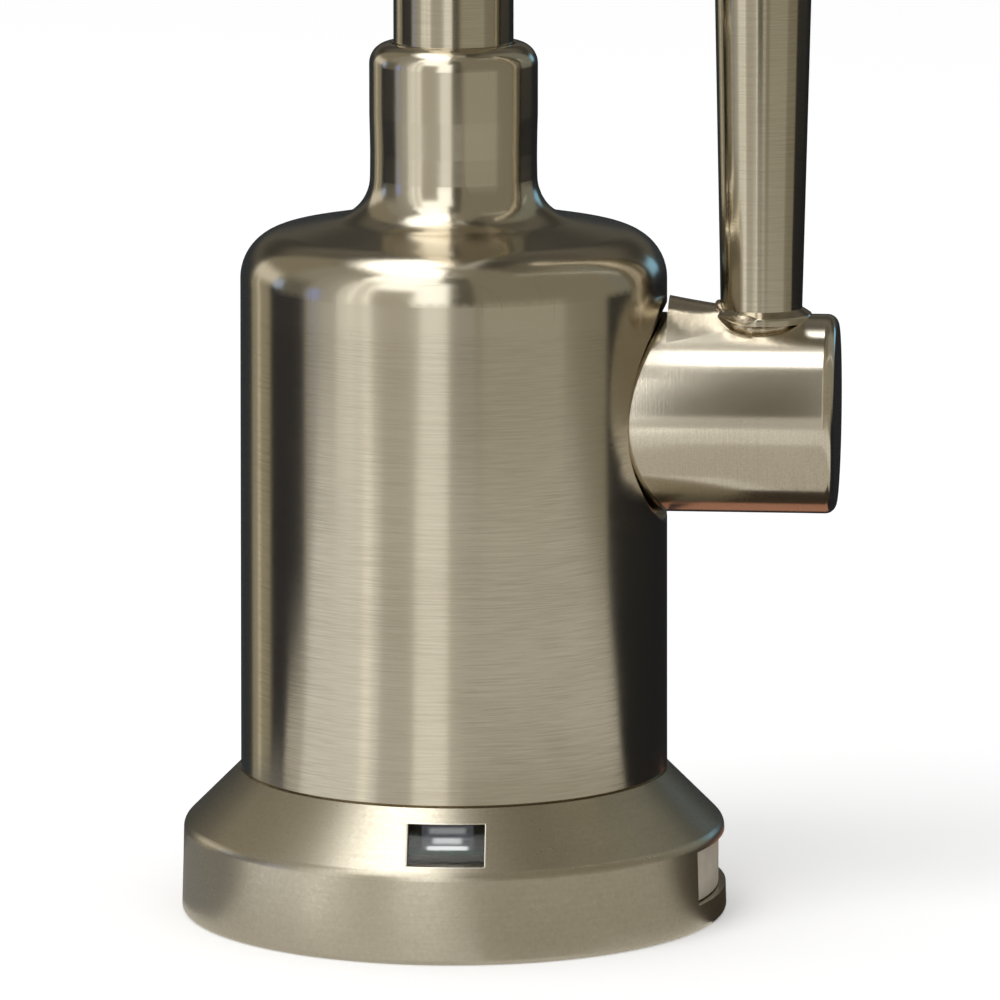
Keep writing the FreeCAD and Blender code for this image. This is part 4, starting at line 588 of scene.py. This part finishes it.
def hub_nickel(recipe):
    """Grooves round the hub's axis, with a speckle over them."""
    speckle = recipe.noise(SPECKLE, detail=2.0, roughness=0.7)
    lines = grooves(recipe, "X") * 0.45 + speckle * 0.65 - 0.05
    return nickel(recipe, lines, 0.15, 2.2e-6, anisotropic=0.0, pair=(NICKEL_PALE, NICKEL_PALE_DARK))


def base_nickel(recipe):
    """Wide faint grooves under the mottle of a casting."""
    mottle = recipe.noise(MOTTLE, detail=4.0, roughness=0.7)
    lines = grooves(recipe, "Z", BASE_GROOVE) * 0.35 + mottle * 0.75 - 0.05
    return nickel(recipe, lines, 0.30, 7.0e-6, spread=0.2, anisotropic=0.2)


hub_finish = finish("brushed_nickel_hub", hub_nickel)
base_finish = finish("satin_nickel_base", base_nickel)

# %% [markdown]
# ## Turned, plated and threaded metal
#
# The working parts are brass, and the screws, washers and the nut are plated steel. Turning
# leaves rings round the axis, which is X for the cartridge and Z for the rest. A fine thread
# could be cut as a mesh, with a great many faces that hardly show, so it is a bump: its height
# goes up and down once for each pitch along the axis and once for each turn about it, and
# adding the two gives the winding with no seam.

# %% Turned metal
BRASS = (0.66, 0.47, 0.19)
BRASS_DARK = (0.46, 0.30, 0.10)
ZINC = (0.62, 0.63, 0.64)
ZINC_DARK = (0.42, 0.43, 0.45)
SPRING, SPRING_DARK = (0.66, 0.66, 0.65), (0.5, 0.5, 0.5)
CELL, CELL_DARK = (0.70, 0.70, 0.71), (0.58, 0.58, 0.60)
TOOL_RING = 0.22 * MM
TOOL_STROKE = 9 * MM
TARNISH = 5 * MM


def turned_metal(light, dark, axis, roughness=0.27):
    """Rings of a cutting tool round the axis, and a faint tarnish in patches."""
    def build(recipe):
        rings = grooves(recipe, axis, TOOL_RING, TOOL_STROKE)
        tarnish = recipe.noise(TARNISH, detail=4.0)
        return {
            "Base Color": recipe.colours((rings * 0.5 + tarnish * 0.5).step(0.3, 0.7), light, dark),
            "Metallic": 1.0,
            "Roughness": roughness + (rings - 0.5) * 0.12 + (tarnish - 0.5) * 0.15,
            "Normal": recipe.bump(rings, 4e-6),
        }
    return build


brass_upright = finish("turned_brass", turned_metal(BRASS, BRASS_DARK, "Z"))
brass_level = finish("turned_brass_across", turned_metal(BRASS, BRASS_DARK, "X"))
zinc_finish = finish("plated_steel", turned_metal(ZINC, ZINC_DARK, "Z", 0.3))
spring_finish = finish("spring_steel", turned_metal(SPRING, SPRING_DARK, "X", 0.2))
cell_finish = finish("cell_steel", turned_metal(CELL, CELL_DARK, "Z", 0.18))

# %% The thread of the shank and the blackened screws
THREAD_PITCH = 1.06 * MM
THREAD_DEPTH = 0.35 * MM
BLACK_GRAIN = 0.3 * MM


def threaded_brass(recipe):
    """A helix of pitch THREAD_PITCH on turned brass, with a darker root: painted shade in the groove."""
    x, y, z = recipe.axes()
    turn_share = recipe.maths("ARCTAN2", y, x) / (2 * math.pi)
    crest = (z / THREAD_PITCH + turn_share).zigzag()
    sockets = turned_metal(BRASS, BRASS_DARK, "Z")(recipe)
    # The darker colour in the root is painted shade in the groove of the thread.
    sockets["Base Color"] = recipe.colours(crest.step(0.0, 0.6), BRASS_DARK, sockets["Base Color"])
    sockets["Normal"] = recipe.bump(crest, THREAD_DEPTH)
    return sockets


def blackened_steel(recipe):
    grain = recipe.noise(BLACK_GRAIN, detail=4.0)
    return {
        "Base Color": recipe.colours(grain, (0.05, 0.05, 0.052), (0.10, 0.095, 0.09)),
        "Metallic": 1.0,
        "Roughness": 0.35 + grain * 0.2,
        "Normal": recipe.bump(grain, 6e-6),
    }


thread_finish = finish("threaded_brass", threaded_brass)
black_steel_finish = finish("blackened_steel", blackened_steel)

# %% [markdown]
# ## Plastics, rubber and ceramic
#
# Moulded plastic has a fine grain, rubber a coarser one and a dull face, and lapped ceramic is
# almost smooth. One recipe with a colour, a shade, a roughness and a grain serves them all, so
# the finishes differ only where the materials do.

# %% Moulded and lapped materials
SOFT_PATCH = 3 * MM


def moulded(colour, shade, roughness, grain=0.12 * MM, depth=5e-6):
    """Two close colours in soft patches over a fine grain."""
    def build(recipe):
        fine = recipe.noise(grain)
        patches = recipe.noise(SOFT_PATCH, detail=3.0)
        return {
            "Base Color": recipe.colours(patches.step(0.35, 0.65), colour, shade),
            "Roughness": roughness + (fine - 0.5) * 0.15,
            "Normal": recipe.bump(fine, depth),
        }
    return build


black_plastic = finish("black_plastic", moulded((0.030, 0.030, 0.032), (0.045, 0.045, 0.047), 0.5))
grey_plastic = finish("grey_plastic", moulded((0.42, 0.43, 0.44), (0.37, 0.38, 0.39), 0.45))
beige_plastic = finish("beige_plastic", moulded((0.42, 0.375, 0.30), (0.37, 0.33, 0.26), 0.5))
rubber = finish("black_rubber", moulded((0.022, 0.022, 0.023), (0.035, 0.034, 0.033), 0.8,
                                        grain=0.25 * MM, depth=1.5e-5))
ceramic = finish("lapped_ceramic", moulded((0.85, 0.84, 0.80), (0.80, 0.79, 0.75), 0.2,
                                           grain=0.05 * MM, depth=1e-6))

# %% [markdown]
# ## The circuit board
#
# The small board in the base is green, with copper tracks under its lacquer. It hardly shows
# in there, so the tracks aren't modelled: they are stripes on X, and a coarse noise bends their
# place so that they don't look ruled.

# %% Lacquer over tracks
TRACK_PITCH = 1.6 * MM
TRACK_BEND = 4 * MM
BEND_SIZE = 6 * MM
WEAVE = 0.4 * MM


def board_lacquer(recipe):
    """Green lacquer over tracks: a zigzag of (x + bend) / pitch, cut at a level."""
    x = recipe.axes()[0]
    bend = recipe.noise(BEND_SIZE, detail=0.0)
    stripes = ((x + bend * TRACK_BEND) / TRACK_PITCH).zigzag()
    track = stripes.step(0.62, 0.68)
    weave = recipe.noise(WEAVE)
    return {
        "Base Color": recipe.colours(track, (0.012, 0.075, 0.030), (0.035, 0.17, 0.065)),
        "Roughness": 0.28 + (weave - 0.5) * 0.1,
        "Normal": recipe.bump(track, 3e-5),
    }


board_finish = finish("green_board", board_lacquer)

# %% [markdown]
# ## The indicator
#
# Behind the window stand a clear lens and a small light module with two pale bars. The lens is
# clear plastic with hairline marks. The bars could be two small boxes. Here each bar is a soft
# stripe of painted glow on the block, which fades over a fraction of a millimetre up, down and
# sideways, with a faint third one above them. The dark block has a faint painted glow too.

# %% Where the stripes of the light module are
BASE_TURN = math.radians(3.4)
light_low, light_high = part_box("indicator_light")
light_middle = (light_low[2] + light_high[2]) / 2
print("light module from", round(light_low[2] / MM, 2), "to", round(light_high[2] / MM, 2), "mm")
# Each stripe of painted glow: its level above the middle of the module, half its width, and its strength.
STRIPES = [(0.95 * MM, 1.9 * MM, 0.20), (-0.28 * MM, 1.5 * MM, 0.5), (-1.2 * MM, 2.1 * MM, 1.0)]
STRIPE_CORE, STRIPE_REACH = 0.08 * MM, 0.5 * MM
STRIPE_END = 0.3 * MM

# %% Lens and light module
LENS_HAZE = 0.8 * MM
BLOCK_GRAIN = 0.3 * MM


def clear_lens(recipe):
    haze = recipe.noise(LENS_HAZE, detail=4.0)
    return {
        "Base Color": recipe.colours(haze, (0.86, 0.90, 0.93), (0.95, 0.96, 0.97)),
        "Roughness": 0.10 + haze * 0.14,
        "Transmission Weight": 1.0,
        "IOR": 1.49,
        "Normal": recipe.bump(haze, 4e-6),
    }


def painted_glow_stripes(recipe):
    """Soft stripes of painted glow, each at its strength at its level, fading to 0 above, below and at its
    ends.
    """
    x, y, z = recipe.axes()
    across = x * math.cos(BASE_TURN) + y * math.sin(BASE_TURN)
    off_middle = recipe.maths("ABSOLUTE", across)
    glow = 0.0
    for level, half_width, strength in STRIPES:
        off_level = recipe.maths("ABSOLUTE", z - (light_middle + level))
        near_level = 1 - off_level.step(STRIPE_CORE, STRIPE_REACH)
        off_end = 1 - off_middle.step(half_width - STRIPE_END, half_width + STRIPE_END)
        glow = glow + near_level * off_end * strength
    bar = recipe.maths("MINIMUM", glow, 1.0)
    grain = recipe.noise(BLOCK_GRAIN, detail=3.0)
    return {
        "Base Color": recipe.colours(bar, (0.10, 0.10, 0.11), (0.82, 0.82, 0.79)),
        "Roughness": 0.45 + (grain - 0.5) * 0.2,
        # Emission here is painted light: the stripes glow, and so does the dark block, faintly.
        "Emission Color": recipe.colours(bar, (0.035, 0.035, 0.04), (0.85, 0.86, 0.83)),
        "Emission Strength": 1.0,
        "Normal": recipe.bump(grain, 1e-5),
    }


lens_finish = finish("clear_lens", clear_lens)
light_finish = finish("painted_glow_stripes", painted_glow_stripes)

# %% [markdown]
# ## Give every node its finish
#
# A CAD node keeps its place and its mesh, and only gets a material. One table says which, so
# that a node without a finish is found at once.

# %% Dress the nodes
DRESS = {
    body_finish: ["body_shell"],
    tube_finish: ["spout_tube", "lever_rod"],
    hub_finish: ["lever_hub"],
    base_finish: ["base_ring"],
    brass_upright: ["valve_core", "spout_foot"],
    brass_level: ["cartridge_body", "bonnet_nut", "valve_stem"],
    thread_finish: ["threaded_shank"],
    zinc_finish: ["base_screws", "steel_washer", "lock_washer", "mounting_nut"],
    spring_finish: ["battery_contact", "spout_clip"],
    cell_finish: ["coin_cell"],
    black_steel_finish: ["set_screw", "keeper_screw"],
    black_plastic: ["base_plate", "neck_bush"],
    grey_plastic: ["air_gap_insert", "drain_inlet_tube", "drain_outlet_tube"],
    beige_plastic: ["battery_drawer"],
    rubber: ["base_gasket", "shank_ring", "rubber_washer", "valve_seal", "stem_ring", "spout_rings"],
    ceramic: ["fixed_disc", "moving_disc"],
    board_finish: ["circuit_board"],
    lens_finish: ["indicator_lens"],
    light_finish: ["indicator_light"],
}
dressed = {name: material for material, names in DRESS.items() for name in names}
for name, material in dressed.items():
    nodes[name].data.materials.clear()
    nodes[name].data.materials.append(material)
print("dressed", len(dressed), "nodes, left:", sorted(set(nodes) - set(dressed)))

# %% [markdown]
# ## The brazed joint of the lever
#
# The rod stands on the hub on a short neck and is brazed to it. The braze ran out in a thin
# line round the foot and set in two lumps with a low bridge between them. A bevelled curve
# could do that with a radius set at each of many points. Here one formula gives the thickness
# all round, so both beads are tubes worked out along a closed curve. The upper one goes round
# the ring, and the lower one follows the saddle of the hub.

# %% The saddle of the hub
LEVER_REACH = 32.65 * MM
VALVE_LEVEL = 53.95 * MM
HUB_RADIUS = 10.57 * MM
HUMP_ROUND = 5.2 * MM
# Place along the hub and height of the hump above the hub, in millimetres.
HUMP_PLACES = [22.95, 27.3, 36.95, 38.0]
HUMP_RISES = [1.87, 1.12, 0.15, 0.0]


def saddle_height(x, y):
    """The hub is a cylinder along X. Its hump has a round top, of a smaller radius, and flanks that
    touch both circles: |y| cos a + z sin a = hub radius, with sin a = (R - r) / (R + rise - r).
    """
    rise = np.interp(x, np.array(HUMP_PLACES) * MM, np.array(HUMP_RISES) * MM)
    centre = HUB_RADIUS + rise - HUMP_ROUND
    sine = (HUB_RADIUS - HUMP_ROUND) / centre
    cosine = np.sqrt(1 - sine ** 2)
    across = np.abs(y)
    hub = np.sqrt(np.maximum(HUB_RADIUS ** 2 - y ** 2, 0))
    top = centre + np.sqrt(np.maximum(HUMP_ROUND ** 2 - y ** 2, 0))
    flank = (HUB_RADIUS - across * cosine) / sine
    hump = np.where(across < HUMP_ROUND * cosine, top, flank)
    return np.where(across < HUB_RADIUS * cosine, hump, hub)


print("the hump stands", round(float(saddle_height(LEVER_REACH, 0.0) / MM), 2), "mm over the axis")

# %% Two beads of braze
RING_RADIUS, RING_LEVEL, RING_BEAD = 5.05 * MM, 10.62 * MM, 0.12 * MM
FOOT_RADIUS, FOOT_BEAD = 4.5 * MM, 0.38 * MM
# Each lump of a bead: its size, and its half width and its angle in degrees.
RING_LUMPS = [(0.38 * MM, 13, 182), (0.42 * MM, 15, 250), (0.15 * MM, 25, 225)]
FOOT_LUMPS = [(0.16 * MM, 20, 300)]
BRAZE_SKIN = 0.35 * MM


def ring_height(x, y):
    return RING_LEVEL + 0 * x


def bead(name, radius, height, thickness, lumps, columns=160, rows=14):
    """A tube on a closed curve round the rod: (radius cos a, radius sin a, height(x, y)).

    Its thickness is a small constant, plus a ripple, plus a bell of the given size, width and
    angle for each lump. Around the tube the point goes out by cos b and up by sin b.
    """
    a = np.linspace(0, 2 * math.pi, columns, endpoint=False)[None, :]
    b = np.linspace(0, 2 * math.pi, rows, endpoint=False)[:, None]
    swell = thickness * (1 + 0.22 * np.sin(7 * a + 1) * np.sin(3 * a) + 0.15 * np.sin(17 * a))
    for size, width, angle in lumps:
        away = np.angle(np.exp(1j * (a - math.radians(angle))))
        swell = swell + size * np.exp(-(away / math.radians(width)) ** 2)
    x = LEVER_REACH + radius * np.cos(a)
    y = radius * np.sin(a)
    level = height(x, y) + 0 * a
    out = swell * np.cos(b)
    up = VALVE_LEVEL + level + swell * np.sin(b)
    points = np.stack([x + out * np.cos(a), y + out * np.sin(a), up], -1)
    piece = new_mesh(name, points[::-1], grid_faces(rows, columns, rows_close=True, columns_close=True))
    print(name, "has", len(piece.data.polygons), "faces")
    return piece


def braze(recipe):
    """Silver braze: brighter than nickel, with a fine wrinkled skin."""
    skin = recipe.noise(BRAZE_SKIN, detail=4.0, roughness=0.6)
    return {
        "Base Color": recipe.colours(skin, (0.70, 0.62, 0.50), (0.48, 0.40, 0.30)),
        "Metallic": 1.0,
        "Roughness": 0.18 + skin * 0.2,
        "Normal": recipe.bump(skin, 3e-5),
    }


braze_finish = finish("silver_braze", braze)
beads = [
    bead("braze_on_ring", RING_RADIUS, ring_height, RING_BEAD, RING_LUMPS),
    bead("braze_on_hub", FOOT_RADIUS, saddle_height, FOOT_BEAD, FOOT_LUMPS),
]
for piece in beads:
    piece.data.materials.append(braze_finish)
    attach(piece, "lever")

# %% [markdown]
# ## The bright edge of the window
#
# The window was cut through the cone of the base, and its edge shines as a thin line all
# round. A bevel of the base would need its mesh changed, and that mesh is the CAD's. So the
# line is a thin tube along a rectangle that is laid on the cone. Its nickel is paler than
# any other nickel on the faucet, a painted highlight that makes the line brighter.

# %% A thin edge round the window
CONE_TIP = 38.35 * MM
WINDOW_HALF = 4.1 * MM
WINDOW_LOW, WINDOW_HIGH = 10.2 * MM, 14.05 * MM
EDGE = 0.11 * MM
EDGE_SUNK = 0.5
RUB_MARK = 0.2 * MM


def window_edge(columns=240, rows=10):
    """Across and up run round a rectangle with evenly spaced points. The cone has the radius
    tip - up, so the way out is the root of that squared less across squared. Round each point
    the tube goes by cos b along the slope's normal and by sin b square to the line.
    """
    width, height = 2 * WINDOW_HALF, WINDOW_HIGH - WINDOW_LOW
    run = np.linspace(0, 2 * (width + height), columns, endpoint=False)
    corners = [0, width, width + height, 2 * width + height, 2 * (width + height)]
    across = np.interp(run, corners, [-WINDOW_HALF, WINDOW_HALF, WINDOW_HALF, -WINDOW_HALF, -WINDOW_HALF])
    up = np.interp(run, corners, [WINDOW_LOW, WINDOW_LOW, WINDOW_HIGH, WINDOW_HIGH, WINDOW_LOW])
    radius = CONE_TIP - up
    out = np.sqrt(radius ** 2 - across ** 2)
    line = np.stack([across, out, up], -1)
    normal = np.stack([across / radius, out / radius, np.ones(columns)], -1) / math.sqrt(2)
    along = np.roll(line, -1, 0) - np.roll(line, 1, 0)
    along /= np.linalg.norm(along, axis=1)[:, None]
    side = np.cross(along, normal)
    b = np.linspace(0, 2 * math.pi, rows, endpoint=False)[:, None, None]
    tube = line - EDGE_SUNK * EDGE * normal + EDGE * (np.cos(b) * normal + np.sin(b) * side)
    across, out, up = np.moveaxis(tube, -1, 0)
    sine, cosine = math.sin(BASE_TURN), math.cos(BASE_TURN)
    points = np.stack([across * cosine + out * sine, across * sine - out * cosine, up], -1)
    piece = new_mesh("window_edge", points, grid_faces(rows, columns, rows_close=True, columns_close=True))
    print("window edge:", len(piece.data.polygons), "faces")
    return piece


def highlight_rim_nickel(recipe):
    """Nickel paler than the base, a painted highlight on the rim, with fine marks in it."""
    marks = recipe.noise(RUB_MARK, detail=3.0)
    return {
        # The pale colour is a painted highlight on the rim.
        "Base Color": recipe.colours(marks, (0.93, 0.90, 0.84), (0.80, 0.76, 0.68)),
        "Metallic": 1.0,
        "Roughness": 0.2 + marks * 0.2,
        "Normal": recipe.bump(marks, 5e-6),
    }


edge = window_edge()
edge.data.materials.append(finish("highlight_rim_nickel", highlight_rim_nickel))
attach(edge, "faucet")
